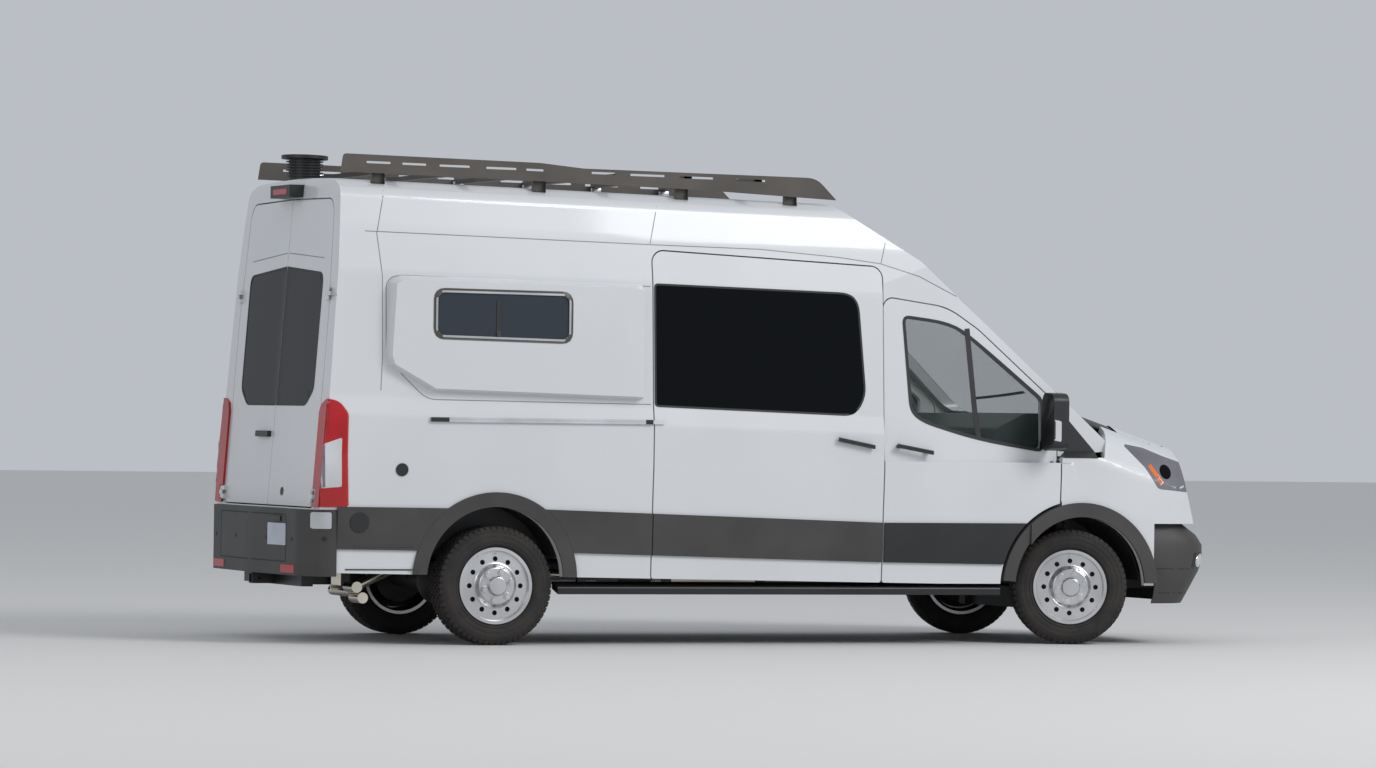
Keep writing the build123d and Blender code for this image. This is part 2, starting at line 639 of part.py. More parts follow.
def front_door_trim():
    # Outside mirror on its arm, pull handle and the black strip along the door.
    inner_y = BODY_HALF + 18
    head = slab_x([(-MIRROR_OUT_Y, MIRROR_BOTTOM + 20, 40), (-MIRROR_OUT_Y, MIRROR_TOP - 10, 60),
                   (-inner_y - 20, MIRROR_TOP, 50), (-inner_y, MIRROR_BOTTOM + 60, 40),
                   (-inner_y - 40, MIRROR_BOTTOM, 30)], MIRROR_X - 20, MIRROR_X + 80)
    arm = slab_x([(-inner_y - 60, MIRROR_BOTTOM + 10), (-inner_y - 60, MIRROR_BOTTOM + 60),
                  (-BODY_HALF + 120, MIRROR_BOTTOM + 60), (-BODY_HALF + 120, MIRROR_BOTTOM + 10)],
                 MIRROR_X + 10, MIRROR_X + 70)
    mirror = (head + arm) - OUTER
    handle = block(2511, 2741, -BODY_HALF - 34, -BODY_HALF - 14, 1160, 1190)
    handle = handle + block(2520, 2550, -BODY_HALF - 20, -BODY_HALF + 30, 1160, 1190)
    handle = handle + block(2700, 2730, -BODY_HALF - 20, -BODY_HALF + 30, 1160, 1190)
    strip_top = [(x, line_at(CLAD_TOP, x)) for x in (B_SEAM_X, FRONT_DOOR_X)]
    strip_low = [(x, line_at(CLAD_BOTTOM, x)) for x in (FRONT_DOOR_X, B_SEAM_X)]
    strip = (CLAD_OUT - OUTER) & slab_y(strip_top + strip_low, *RIGHT) & front_door_space(4)
    return solids_of(mirror) + solids_of(handle - OUTER) + solids_of(strip)


def rear_door(side_sign):
    wall = SHELL & rear_region()
    panel = wall & slab_x(rear_door_outline(side_sign), -1400, -900)
    panel = panel - slab_x(offset_outline(rear_window_outline(side_sign), -GLASS_EDGE), -1400, -900)
    step = [(rear_x(300) + 20, 300), (rear_x(300) + 100, 300), (rear_x(2900) + 100, 2900), (rear_x(2900) + 20, 2900)]
    panel = panel - slab_y(step, -CENTRE_GAP / 2 - 7, CENTRE_GAP / 2 + 7)
    for hinge in rear_hinge(side_sign, False):
        panel = panel + hinge
    return [s for s in solids_of(panel) if s.volume > 1e5]


def rear_glass(side_sign):
    pane = GLASS_SHELL & rear_region() & slab_x(rear_window_outline(side_sign), -1400, -900)
    return solids_of(pane)


CROSS_MEMBER_X = (-900.0, 560.0, 1100.0, 1700.0, 2300.0, 2900.0)


def floor():
    # Load floor, cab floor and the two frame rails under it, with cross members.
    pan = INNER & block(rear_x(FLOOR_TOP_Z) + WALL, FIREWALL_X - WALL, -REACH, REACH,
                        FLOOR_TOP_Z - FLOOR_T, FLOOR_TOP_Z)
    rails = [block(-1000, FIREWALL_X - 60, y - 40, y + 40, FLOOR_TOP_Z - FLOOR_T - 110, FLOOR_TOP_Z - FLOOR_T + 5)
             for y in (-480, 480)]
    members = [block(x - 40, x + 40, -950, 950, FLOOR_TOP_Z - FLOOR_T - 70, FLOOR_TOP_Z - FLOOR_T + 5)
               for x in CROSS_MEMBER_X]
    shape = pan
    for piece in rails + members:
        shape = shape + piece
    shape = shape & cab_form(WALL + SEAT_GAP, BELOW)
    for axle_x, rise in (FRONT_ARCH, REAR_ARCH):
        inner_y = 535.0 if axle_x > 1000 else 680.0
        for side_sign in (-1, 1):
            y0, y1 = sorted((side_sign * inner_y, side_sign * REACH))
            shape = shape - arch_space(axle_x, rise, ARCH_R + LINER_T + SEAL_GAP, y0, y1)
    return [s for s in solids_of(shape) if s.volume > 1e5]


def wheel_liners():
    pieces = []
    for (axle_x, rise), y_in in ((FRONT_ARCH, 540.0), (REAR_ARCH, 690.0)):
        z = TYRE_R + rise
        ring = arch_space(axle_x, rise, ARCH_R + LINER_T, -940, -y_in) - arch_space(axle_x, rise, ARCH_R, -950, -y_in - LINER_T)
        low = z + 40 if axle_x > 1000 else 520
        ring = ring - block(axle_x - 600, axle_x + 600, -1000, 0, 0, low)
        pieces += solids_of(ring & cab_or_nose_space())
    return both(pieces)


def cab_or_nose_space():
    return block(-1100, NOSE_X - 100, -936, 936, 0, 1000)


def firewall():
    # Wall between cab and engine bay, the shelf under the windscreen and the hinge pillars.
    half = FIREWALL_HALF - SEAL_GAP
    wall = SHELL & block(FIREWALL_X - WALL - 20, COWL_X + 600, -half, half, BODY_BOTTOM_Z + 60, SCREEN_BOTTOM_Z + 9)
    wall = wall - slab_x(offset_outline(SCREEN_OUTLINE, -GLASS_EDGE), 2500, COWL_X + 600)
    for side_sign in (-1, 1):
        y0, y1 = sorted((side_sign * 535.0, side_sign * REACH))
        wall = wall - arch_space(FRONT_ARCH[0], FRONT_ARCH[1], ARCH_R + LINER_T + SEAL_GAP, y0, y1)
        y0, y1 = sorted((side_sign * (HOOD_HINGE_Y + 9), side_sign * (HOOD_HINGE_Y + 19)))
        wall = wall + block(HOOD_HINGE[0] - 14, HOOD_HINGE[0] + 14, y0, y1, HOOD_HINGE[1] - 50, HOOD_HINGE[1] + 14)
        wall = wall + rod_y(*HOOD_HINGE, HINGE_PIN_R, *sorted((side_sign * (HOOD_HINGE_Y - 9), y1)))
    wall = wall - rod_x(0, SHAFT_Z, SHAFT_R + 5, FIREWALL_X - WALL - 40, FIREWALL_X + 20)
    return [s for s in solids_of(wall) if s.volume > 1e5]


HOOD_HALF = 800.0
HOOD_FRONT_X = 4480.0
HOOD_REAR_X = 3985.0
HOOD_GAP = 6.0


def hood_space(grow):
    return slab_z([(HOOD_REAR_X - grow, -HOOD_HALF - grow, 60), (HOOD_REAR_X - grow, HOOD_HALF + grow, 60),
                   (HOOD_FRONT_X - 60 + grow, HOOD_HALF - 40 + grow, 120),
                   (HOOD_FRONT_X + 40 + grow, 0, 2500),
                   (HOOD_FRONT_X - 60 + grow, -HOOD_HALF + 40 - grow, 120)], 1120, 1600)


def hood():
    panel = (NOSE_OUT - nose_form(30, BODY_BOTTOM_Z - 60)) & hood_space(0)
    panel = panel - cab_form(-COWL_GAP, 0)
    for side_sign in (-1, 1):
        y0, y1 = sorted((side_sign * (HOOD_HINGE_Y - 8), side_sign * (HOOD_HINGE_Y + 8)))
        x, z = HOOD_HINGE
        arm = slab_y([(x - 14, z - 13, 12), (x - 14, z + 13, 12), (x + 180, z - 15), (x + 180, z - 60)], y0, y1)
        arm = arm & nose_form(8, BODY_BOTTOM_Z - 30)
        panel = panel + (arm - rod_y(x, z, HINGE_PIN_R + SEAL_GAP, y0 - 1, y1 + 1))
    return [s for s in solids_of(panel) if s.volume > 1e5]


def cowl():
    # Black panel between the hood and the windscreen.
    space = cab_form(-COWL_GAP + HOOD_GAP, 0) - cab_form(-FIT_GAP, 0)
    shape = (nose_form(12, BODY_BOTTOM_Z - 30) - nose_form(24, BODY_BOTTOM_Z - 30)) & space
    shape = shape & slab_z([(3700, -HOOD_HALF, 0), (4300, -HOOD_HALF, 0), (4300, HOOD_HALF, 0), (3700, HOOD_HALF, 0)],
                           1200, 1500)
    for side_sign in (-1, 1):
        y0, y1 = sorted((side_sign * (HOOD_HINGE_Y - 20), side_sign * (HOOD_HINGE_Y + 30)))
        shape = shape - block(HOOD_HINGE[0] - 24, HOOD_HINGE[0] + 100, y0, y1, 1200, 1500)
    return [s for s in solids_of(shape) if s.volume > 1e5]


LAMP_SIDE = [(4043, 1221, 10), (4200, 1196, 60), (4320, 1150, 60), (4395, 1045, 60), (4480, 905, 20),
             (4252, 948, 40), (4175, 1080, 60)]
LAMP_INNER_Y = 590.0


def lamp_space(grow):
    outline = offset_outline(LAMP_SIDE, -grow)
    widened = [(x + 260 if x > 4390 else x, z, r) for x, z, r in outline]
    return slab_y(widened, -REACH, -LAMP_INNER_Y + grow)


def headlamps():
    shape = (NOSE_OUT - nose_form(FENDER_T, BODY_BOTTOM_Z - 60)) & lamp_space(0)
    return both([s for s in solids_of(shape) if s.volume > 1e5])


BUMPER_TOP = 735.0
BUMPER_REAR_X = 4228.0
GRILLE_HALF = 585.0
GRILLE_TOP = 1090.0


def fenders():
    # Front wings: the skin from the door to the lamp and bumper, outside the hood.
    shape = NOSE_SHELL & block(FENDER_X - 1, NOSE_X, -REACH, -GRILLE_HALF - FIT_GAP, 0, 1500)
    top_line = [(FENDER_X - 10, 1133), (3895, 1133), (3990, 1420), (NOSE_X, 1420), (NOSE_X, 300),
                (FENDER_X - 10, 300)]
    shape = shape & slab_y(top_line, *RIGHT)
    shape = shape - hood_space(SEAM)
    shape = shape - block(3700, 4300, -HOOD_HALF - FIT_GAP, 0, 1200, 1500)
    shape = shape - lamp_space(FIT_GAP)
    shape = shape - block(BUMPER_REAR_X - FIT_GAP, NOSE_X + 10, -REACH, 0, 0, BUMPER_TOP + FIT_GAP)
    shape = shape - arch_space(FRONT_ARCH[0], FRONT_ARCH[1], ARCH_R, -REACH, -500)
    shape = shape - rod_z(FRONT_DOOR_X - FRONT_HINGE_SETBACK, -FRONT_HINGE_Y, 49, 300, 1500)
    shape = shape - cab_form(-FIT_GAP, 0)
    return both([s for s in solids_of(shape) if s.volume > 1e5])


def grille():
    shape = NOSE_SHELL & block(4300, NOSE_X + 10, -GRILLE_HALF, GRILLE_HALF, BUMPER_TOP + FIT_GAP, 1200)
    shape = shape - hood_space(SEAM)
    return [s for s in solids_of(shape) if s.volume > 1e5]


def front_bumper():
    shape = bumper_form(0, GROUND_CLEARANCE) - bumper_form(FENDER_T, GROUND_CLEARANCE - 50)
    shape = shape & block(BUMPER_REAR_X, NOSE_X + 10, -REACH, REACH, 0, BUMPER_TOP)
    for side_sign in (-1, 1):
        y0, y1 = sorted((side_sign * 500.0, side_sign * REACH))
        shape = shape - arch_space(FRONT_ARCH[0], FRONT_ARCH[1], ARCH_R, y0, y1)
        shape = shape - arch_space(FRONT_ARCH[0], FRONT_ARCH[1], FLARE_R + 2, *sorted((side_sign * 1000.0, side_sign * REACH)))
    return [s for s in solids_of(shape) if s.volume > 1e5]


BUMPER_SEAM_X = -995.0


def side_cladding():
    # Arch flares and the strip behind the rear wheel and along the sliding door.
    band = (CLAD_OUT - OUTER)
    top = [(x, z) for x, z in CLAD_TOP if x < 3000]
    low = [(x, z) for x, z in reversed(CLAD_BOTTOM) if x < 3000]
    strip = band & slab_y(top + low, *RIGHT)
    strip = strip & block(BUMPER_SEAM_X + FIT_GAP / 2, B_SEAM_X - 6, -REACH, -300, 0, 1200)
    strip = strip - block(SLIDER_REAR_X - 3, SLIDER_REAR_X + 3, -REACH, 0, 0, 1200)
    strip = strip - arch_space(REAR_ARCH[0], REAR_ARCH[1], FLARE_R + 1, -REACH, 0)
    rear_flare = band & (arch_space(REAR_ARCH[0], REAR_ARCH[1], FLARE_R, -REACH, -500)
                         - arch_space(REAR_ARCH[0], REAR_ARCH[1], ARCH_R - 2, -REACH - 10, -490))
    rear_flare = rear_flare - block(-800, 800, -REACH, 0, 0, 400)
    flare_out = nose_form(-FLARE_PROUD, BODY_BOTTOM_Z - 15)
    ring = (arch_space(FRONT_ARCH[0], FRONT_ARCH[1], FLARE_R, -REACH, -700)
            - arch_space(FRONT_ARCH[0], FRONT_ARCH[1], ARCH_R - 2, -REACH - 10, -690))
    front_flare = (flare_out - NOSE_OUT) & ring
    front_flare = front_flare - block(3000, 4600, -REACH, 0, 0, 375)
    pieces = solids_of(strip) + solids_of(rear_flare) + solids_of(front_flare)
    return both([s for s in pieces if s.volume > 2e4])


def sill_steps():
    step = slab_x([(-985, 300), (-985, 345, 15), (-880, 372), (-880, 330)], 380, 3222)
    bracket_top = FLOOR_TOP_Z - FLOOR_T - 70 - SEAT_GAP
    for x in CROSS_MEMBER_X[1:]:
        step = step + slab_x([(-940, 322), (-902, 372), (-902, bracket_top), (-862, bracket_top), (-862, 335)],
                             x - 25, x + 25)
    return both(step)


FLARE_POD_Y = 1062.0
POD_WINDOW = [(-425, 2068, 55), (412, 2060, 55), (412, 1780, 55), (-425, 1796, 55)]


def pod_loft(draw_in, y_out):
    base = offset_outline(FLARE_POD_BASE, draw_in)
    face = offset_outline(FLARE_POD_BASE, draw_in + 42)
    base_wire = outline_wire(base, lambda p: Vector(p[0], -940, p[1]))
    face_wire = outline_wire(face, lambda p: Vector(p[0], -y_out, p[1]))
    return Solid.make_loft([base_wire, face_wire], ruled=True)


def side_flares():
    # Bulged side pods that give sleeping width, open to the inside.
    shell = pod_loft(0, FLARE_POD_Y) - pod_loft(26, FLARE_POD_Y - 25)
    shell = shell - OUTER
    shell = shell - slab_y(offset_outline(POD_WINDOW, -SEAL_GAP), *RIGHT)
    return both([s for s in solids_of(shell) if s.volume > 1e5])


def pod_window_frames():
    frame = slab_y(POD_WINDOW, -FLARE_POD_Y - 6, -FLARE_POD_Y + 25)
    frame = frame - slab_y(offset_outline(POD_WINDOW, 12), -REACH, -900)
    return both(frame)


def pod_glass():
    pane = slab_y(offset_outline(POD_WINDOW, 12 + SEAL_GAP), -FLARE_POD_Y + 4, -FLARE_POD_Y + 10)
    return both(pane)


def tail_lamps():
    outline = [(-1015, 800, 20), (-1015, 1400, 20), (-910, 1400, 20), (-882, 1350, 20), (-882, 800, 20)]
    around = cab_form(-SEAL_GAP, 0)
    shape = (CLAD_OUT - around) & slab_x(outline, -1300, -925)
    notch = 3 * KNUCKLE_H + 6
    shape = shape - block(-1300, -900, -932, -860, REAR_HINGE_Z[0] - notch, REAR_HINGE_Z[0] + notch)
    stop = block(rear_x(2660) - 90, rear_x(2660) + 30, -190, 190, 2618, 2690) - around
    return both(shape) + [s for s in solids_of(stop) if s.volume > 1e5]


def bumper_plan(draw_in):
    half = BODY_HALF - 14 - draw_in
    tail = TAIL_X + draw_in
    return [(-800, -half), (-1080, -half, 90), (tail + 30, -half + 190, 160), (tail, 0, 4000),
            (tail + 30, half - 190, 160), (-1080, half, 90), (-800, half)]


def rear_bumper():
    shell = slab_z(bumper_plan(0), REAR_BUMPER_LOW, REAR_BUMPER_TOP)
    shell = shell - slab_z(bumper_plan(REAR_BUMPER_T), REAR_BUMPER_LOW - 30, REAR_BUMPER_TOP + 10)
    top = slab_z(bumper_plan(REAR_BUMPER_T - 4), REAR_BUMPER_TOP - 12, REAR_BUMPER_TOP)
    top = top - cab_form(-1, 0)
    shell = (shell + top) & block(TAIL_X - 10, BUMPER_SEAM_X - FIT_GAP / 2, -REACH, REACH, 0, 900)
    return [s for s in solids_of(shell) if s.volume > 1e5]


RACK_Y = 800.0
RACK_BAR_X = (-560, -110, 340, 790, 1240, 1690)
RACK_BOTTOM = [(-932, 2752), (302, 2726), (1320, 2700), (2195, 2660)]


def roof_rack():
    side = slab_y([(-916, 2858, 20), (300, 2834), (575, 2808), (2065, 2790, 60)]
                  + list(reversed(RACK_BOTTOM)), -RACK_Y - 4, -RACK_Y + 4)
    rack = None
    for shape in both(side):
        rack = shape if rack is None else rack + shape
    for x in RACK_BAR_X:
        rack = rack + block(x - 25, x + 25, -RACK_Y, RACK_Y, 2756, 2782)
    for x in (-700, 300, 1200, 1900):
        for side_sign in (-1, 1):
            y0, y1 = sorted((side_sign * (RACK_Y - 30), side_sign * RACK_Y))
            foot = block(x - 40, x + 40, y0, y1, 2500, line_at(RACK_BOTTOM, x) + 12)
            rack = rack + (foot - OUTER)
    return solids_of(rack)


VENT_AT = (-800.0, 300.0)


def roof_vent():
    lid = Pos(0, 0, 148) * Cylinder(140, 20) + Pos(0, 0, 69.5) * Cylinder(95, 139)
    probe = OUTER & block(VENT_AT[0] - 1, VENT_AT[0] + 1, VENT_AT[1] - 1, VENT_AT[1] + 1, 2500, 2900)
    top = probe.bounding_box().max.Z
    side_fall = VENT_AT[1] / ROOF_CROWN_R
    return solids_of(Pos(*VENT_AT, top + SEAT_GAP) * Rot(-degrees(side_fall), degrees(SECTION_FALL), 0) * lid)


def front_seat(side_y):
    cushion = slab_y([(2560, 1010, 40), (2580, 1120, 50), (3040, 1150, 60), (3050, 1030, 40)],
                     side_y - 240, side_y + 240)
    backrest = slab_y([(2380, 1720, 60), (2480, 1740, 60), (2700, 1110, 40), (2560, 1060, 40)],
                      side_y - 230, side_y + 230)
    head = slab_y([(2320, 1900, 50), (2420, 1910, 50), (2460, 1735, 30), (2370, 1715, 30)],
                  side_y - 130, side_y + 130)
    base = block(2600, 3000, side_y - 200, side_y + 200, FLOOR_TOP_Z + SEAT_GAP, 1030)
    return solids_of(cushion + backrest + head + base)


def seats():
    return front_seat(-480) + front_seat(480)


def dashboard():
    z = 1395
    back = FIREWALL_X - WALL - SEAT_GAP
    shape = slab_y([(3180, 1060, 40), (3230, 1300, 60), (3420, z, 60), (back, z), (back, 900, 40),
                    (3400, 900, 60)], -865, 865)
    column = Pos(3250, 480, 1245) * Rot(0, -62, 0) * Cylinder(30, 260)
    wheel = Pos(3165, 480, 1292) * Rot(0, -62, 0) * (Torus(180, 16) + Cylinder(60, 24) + Box(20, 350, 20))
    return solids_of(shape + column + wheel)


ENGINE = (3770, 4330, -260, 260, 430, 1060)
UPRIGHT_TOP = 170.0
UPRIGHT_DROP = 120.0
ARM_TOP = TYRE_R - UPRIGHT_DROP - SEAT_GAP
STRUT_R = 42.0
SHAFT_R = 36.0
SHAFT_Z = TYRE_R + 100
STRUT_Y = 650.0
HUB_R = 55.0
WHEEL_FACE = RIM_W / 2 - 17
HUB_SEAT = WHEEL_FACE + 28


def engine():
    return solids_of(block(*ENGINE))


def front_subframe():
    # Beam and rails that carry the engine and bumper, with the lower arms and the struts.
    shape = block(3640, 3860, -420, 420, ARM_TOP - 25, 330)
    rail_top = FLOOR_TOP_Z - FLOOR_T - 110 - SEAT_GAP
    for side_sign in (-1, 1):
        y0, y1 = sorted((side_sign * 385.0, side_sign * 475.0))
        shape = shape + block(3570, 4640, y0, y1, 330, 420) + block(3600, 3700, y0, y1, ARM_TOP - 25, 400)
        shape = shape + block(3560, 3640, y0, y1, 330, rail_top)
        foot0, foot1 = sorted((side_sign * (ENGINE[3] + SEAT_GAP), side_sign * 420.0))
        shape = shape + block(3900, 4000, foot0, foot1, 440, 520) + block(3900, 4000, y0, y1, 400, 520)
        arm0, arm1 = sorted((side_sign * 400.0, side_sign * KINGPIN_Y))
        shape = shape + block(FRONT_AXLE_X - 30, FRONT_AXLE_X + 30, arm0, arm1, ARM_TOP - 25, ARM_TOP)
        shape = shape + rod_z(FRONT_AXLE_X, side_sign * KINGPIN_Y, 30, ARM_TOP - 25, ARM_TOP)
    beam = block(4600, NOSE_X, -475, 475, 330, 420) & bumper_form(FENDER_T + SEAT_GAP, GROUND_CLEARANCE - 50)
    strut_z = FRONT_ARCH[1] + TYRE_R + sqrt(ARCH_R ** 2 - (FRONT_AXLE_X - FRONT_ARCH[0] + STRUT_R) ** 2) - SEAT_GAP
    for side_sign in (-1, 1):
        shape = shape + rod_z(FRONT_AXLE_X, side_sign * STRUT_Y, STRUT_R, 460, strut_z)
        shape = shape + rod_z(FRONT_AXLE_X, side_sign * STRUT_Y, STRUT_R - 16, ARM_TOP - 10, 470)
    return solids_of(shape + beam)


def fuel_tank():
    return solids_of(block(1150, 2050, 60, 430, 330, FLOOR_TOP_Z - FLOOR_T - 70 - SEAT_GAP))


SPRING_Y = 520.0


def spring_outline(below, thickness):
    # Bowed leaf pack from eye to eye, its underside lowered by below.
    top = FLOOR_TOP_Z - FLOOR_T - 110 - SEAT_GAP
    low = TYRE_R + 45
    return [(-720, top - 20 - below), (0, low - below, 1500), (640, top - 20 - below),
            (640, top - 20 + thickness - 15), (0, low + thickness, 1500), (-720, top - 20 + thickness - 15)]


def rear_axle():
    reach = REAR_TRACK / 2 + HUB_SEAT - SEAT_GAP
    shape = rod_y(0, TYRE_R, 45, -REAR_TRACK / 2 + 62, REAR_TRACK / 2 - 62) + Pos(0, 0, TYRE_R) * Sphere(150)
    shape = shape + rod_x(0, SHAFT_Z, SHAFT_R, 100, ENGINE[0] - SEAT_GAP)
    shape = shape + rod_y(0, TYRE_R, HUB_R, -reach, reach)
    for side_sign in (-1, 1):
        drum0, drum1 = sorted((side_sign * (REAR_TRACK / 2 - 70), side_sign * (REAR_TRACK / 2 + 20)))
        shape = shape + rod_y(0, TYRE_R, 150, drum0, drum1)
        pad = block(-60, 60, side_sign * SPRING_Y - 35, side_sign * SPRING_Y + 35, TYRE_R, 480)
        shape = shape + (pad - slab_y(spring_outline(SEAT_GAP, 400), -REACH, REACH))
    return solids_of(shape)


def leaf_springs():
    blade = slab_y(spring_outline(0, 35), -SPRING_Y - 35, -SPRING_Y + 35)
    return both(blade)


EXHAUST_R = 30.0
EXHAUST_TIPS = [(-815.0, 276.0), (-851.0, 338.0)]


def exhaust():
    points = [(3150, -330, 400), (330, -330, 400), (110, -330, 470), (-330, -330, 470), (-640, -330, 330),
              (-830, -420, 308), (-830, -820, 308)]
    path = FilletPolyline(*points, radius=[60, 60, 60, 60, 60])
    start = Plane(origin=points[0], z_dir=(-1, 0, 0))
    pipe = sweep(start * Circle(EXHAUST_R), path)
    pipe = pipe + rod_x(-330, 400, 95, 1250, 1900)
    for x, z in EXHAUST_TIPS:
        pipe = pipe + rod_y(x, z, EXHAUST_R + 2, -960, -790)
    hanger_top = FLOOR_TOP_Z - FLOOR_T - 70 - SEAT_GAP
    pipe = pipe + block(1690, 1710, -340, -320, 480, hanger_top)
    pipe = pipe + block(-880, -820, -566, -550, 300, hanger_top)
    return solids_of(pipe)


def tow_hitch():
    tube = block(-1060, -990, -560, 560, 330, 400)
    receiver = block(-1196, -1000, -32, 32, 333, 397) - block(-1300, -1061, -25.4, 25.4, 339.6, 390.4)
    pin_hole = rod_y(-1150, 365, 8, -60, 60)
    arms = [block(-1040, -745, y - 5, y + 5, 340, FLOOR_TOP_Z - FLOOR_T - 110 - SEAT_GAP) for y in (-500, 500)]
    shape = tube + receiver - pin_hole
    for arm in arms:
        shape = shape + arm
    return solids_of(shape)


# Wheels
HUB_HOLES = 12
BEAD_SEAT = 10.0


def wheel_pose(x, y, spin_steer):
    return Pos(x, y, TYRE_R) * Rot(0, 0, spin_steer)


def tyre_form():
    # Revolved about Y; the outside of the wheel faces -Y.
    half = TYRE_W / 2
    seat = RIM_W / 2 - 8 - SEAT_GAP
    profile = [(RIM_R - BEAD_SEAT + SEAT_GAP, -seat), (RIM_R + 6, -seat), (RIM_R + 14, -half + 8, 8),
               (TYRE_R - 50, -half, 30), (TYRE_R, -half + 24, 14), (TYRE_R, half - 24, 14),
               (TYRE_R - 50, half, 30), (RIM_R + 14, half - 8, 8), (RIM_R + 6, seat),
               (RIM_R - BEAD_SEAT + SEAT_GAP, seat)]
    wire = outline_wire(profile, lambda p: Vector(p[0], p[1], 0))
    return Solid.revolve(Face(wire), 360, Axis.Y)


def rim_form():
    half = RIM_W / 2
    bead = RIM_R - BEAD_SEAT
    barrel = [(RIM_R, -half), (RIM_R, -half + 8), (bead, -half + 8), (bead, -half + 34), (RIM_R - 26, -half + 50),
              (RIM_R - 26, half - 50), (bead, half - 34), (bead, half - 8), (RIM_R, half - 8), (RIM_R, half),
              (RIM_R - 18, half), (RIM_R - 34, half - 52), (RIM_R - 34, -half + 52), (RIM_R - 18, -half)]
    wire = outline_wire(barrel, lambda p: Vector(p[0], p[1], 0))
    shape = Solid.revolve(Face(wire), 360, Axis.Y)
    face_y = -half + 17
    disc = [(0, face_y - 62), (50, face_y - 62, 6), (56, face_y - 54), (60, face_y - 38), (108, face_y - 38, 14),
            (128, face_y, 20), (RIM_R - 18, face_y + 4), (RIM_R - 18, face_y + 14), (120, face_y + 12, 20), (98, face_y - 28, 10),
            (0, face_y - 28)]
    disc = [(r, y) + tuple(q) for r, y, *q in disc]
    wire = outline_wire(disc, lambda p: Vector(p[0], p[1], 0))
    plate = Solid.revolve(Face(wire), 360, Axis.Y)
    shape = shape + plate
    for i in range(HUB_HOLES):
        hole = Rot(0, i * 360 / HUB_HOLES, 0) * (Pos(158, face_y, 0) * Rot(90, 0, 0) * Cylinder(15, 60))
        shape = shape - hole
    return shape


def knuckle(side_sign):
    # Steering knuckle with its brake disc, on the inner side of the front wheel.
    disc = rod_y(0, TYRE_R, 150, -FRONT_TRACK / 2 - 22, -FRONT_TRACK / 2 + 2)
    upright = block(-30, 30, -KINGPIN_Y - 18, -KINGPIN_Y + 30, TYRE_R - UPRIGHT_DROP, TYRE_R + UPRIGHT_TOP)
    hub = rod_y(0, TYRE_R, HUB_R, -FRONT_TRACK / 2 - HUB_SEAT + SEAT_GAP, -KINGPIN_Y)
    shape = Pos(FRONT_AXLE_X, 0, 0) * (disc + upright + hub)
    shape = solids_of(shape)
    if side_sign > 0:
        shape = mirrored(shape)
    turned = Pos(FRONT_AXLE_X, side_sign * KINGPIN_Y, 0) * Rot(0, 0, -STEER_AT_REST) * Pos(
        -FRONT_AXLE_X, -side_sign * KINGPIN_Y, 0)
    return [turned * s for s in shape]


def wheel_place(name):
    side_sign = -1 if name.endswith("right") else 1
    face = Rot(0, 0, 0) if side_sign < 0 else Rot(0, 0, 180)
    if name.startswith("front"):
        king = Pos(FRONT_AXLE_X, side_sign * KINGPIN_Y, 0) * Rot(0, 0, -STEER_AT_REST)
        return king * Pos(0, side_sign * (FRONT_TRACK / 2 - KINGPIN_Y), TYRE_R) * face
    return Pos(0, side_sign * REAR_TRACK / 2, TYRE_R) * face


NODES = {
    "body_side_right": body_side_right, "body_side_left": body_side_left, "roof": roof,
    "windscreen": windscreen, "side_glass": side_glass, "sliding_door": sliding_door,
    "door_rail": door_rail, "floor": floor, "wheel_liners": wheel_liners, "firewall": firewall,
    "hood": hood, "cowl": cowl, "headlamps": headlamps, "fenders": fenders, "grille": grille,
    "front_bumper": front_bumper, "side_cladding": side_cladding, "sill_steps": sill_steps,
    "side_flares": side_flares, "pod_window_frames": pod_window_frames, "pod_glass": pod_glass,
    "tail_lamps": tail_lamps, "rear_bumper": rear_bumper, "roof_rack": roof_rack,
    "roof_vent": roof_vent, "seats": seats, "dashboard": dashboard, "engine": engine,
    "front_subframe": front_subframe, "fuel_tank": fuel_tank, "rear_axle": rear_axle,
    "leaf_springs": leaf_springs, "exhaust": exhaust, "tow_hitch": tow_hitch,
    "front_door_right": front_door, "front_door_glass_right": front_door_glass,
    "front_door_trim_right": front_door_trim,
    "front_door_left": lambda: mirrored(front_door()),
    "front_door_glass_left": lambda: mirrored(front_door_glass()),
    "front_door_trim_left": lambda: mirrored(front_door_trim()),
    "rear_door_right": lambda: rear_door(-1), "rear_door_left": lambda: rear_door(1),
    "rear_door_glass_right": lambda: rear_glass(-1), "rear_door_glass_left": lambda: rear_glass(1),
    "knuckle_right": lambda: knuckle(-1), "knuckle_left": lambda: knuckle(1),
}


def main():
    os.makedirs("parts", exist_ok=True)
    made = {name: maker() for name, maker in NODES.items()}
    tyre, rim = tyre_form(), rim_form()
    for corner in ("front_right", "front_left", "rear_right", "rear_left"):
        place = wheel_place(corner)
        made["tyre_" + corner] = solids_of(place * tyre)
        made["rim_" + corner] = solids_of(place * rim)
    for name, pieces in made.items():
        moved = [Pos(-MID_X, 0, 0) * piece for piece in pieces]
        whole = moved[0] if len(moved) == 1 else Compound(children=moved)
        export_step(whole, "parts/" + name + ".step")


main()
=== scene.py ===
import json
from math import ceil, copysign, cos, pi, radians, sin, sqrt

import bmesh
import bpy
from mathutils import Matrix, Vector
from mathutils.bvhtree import BVHTree


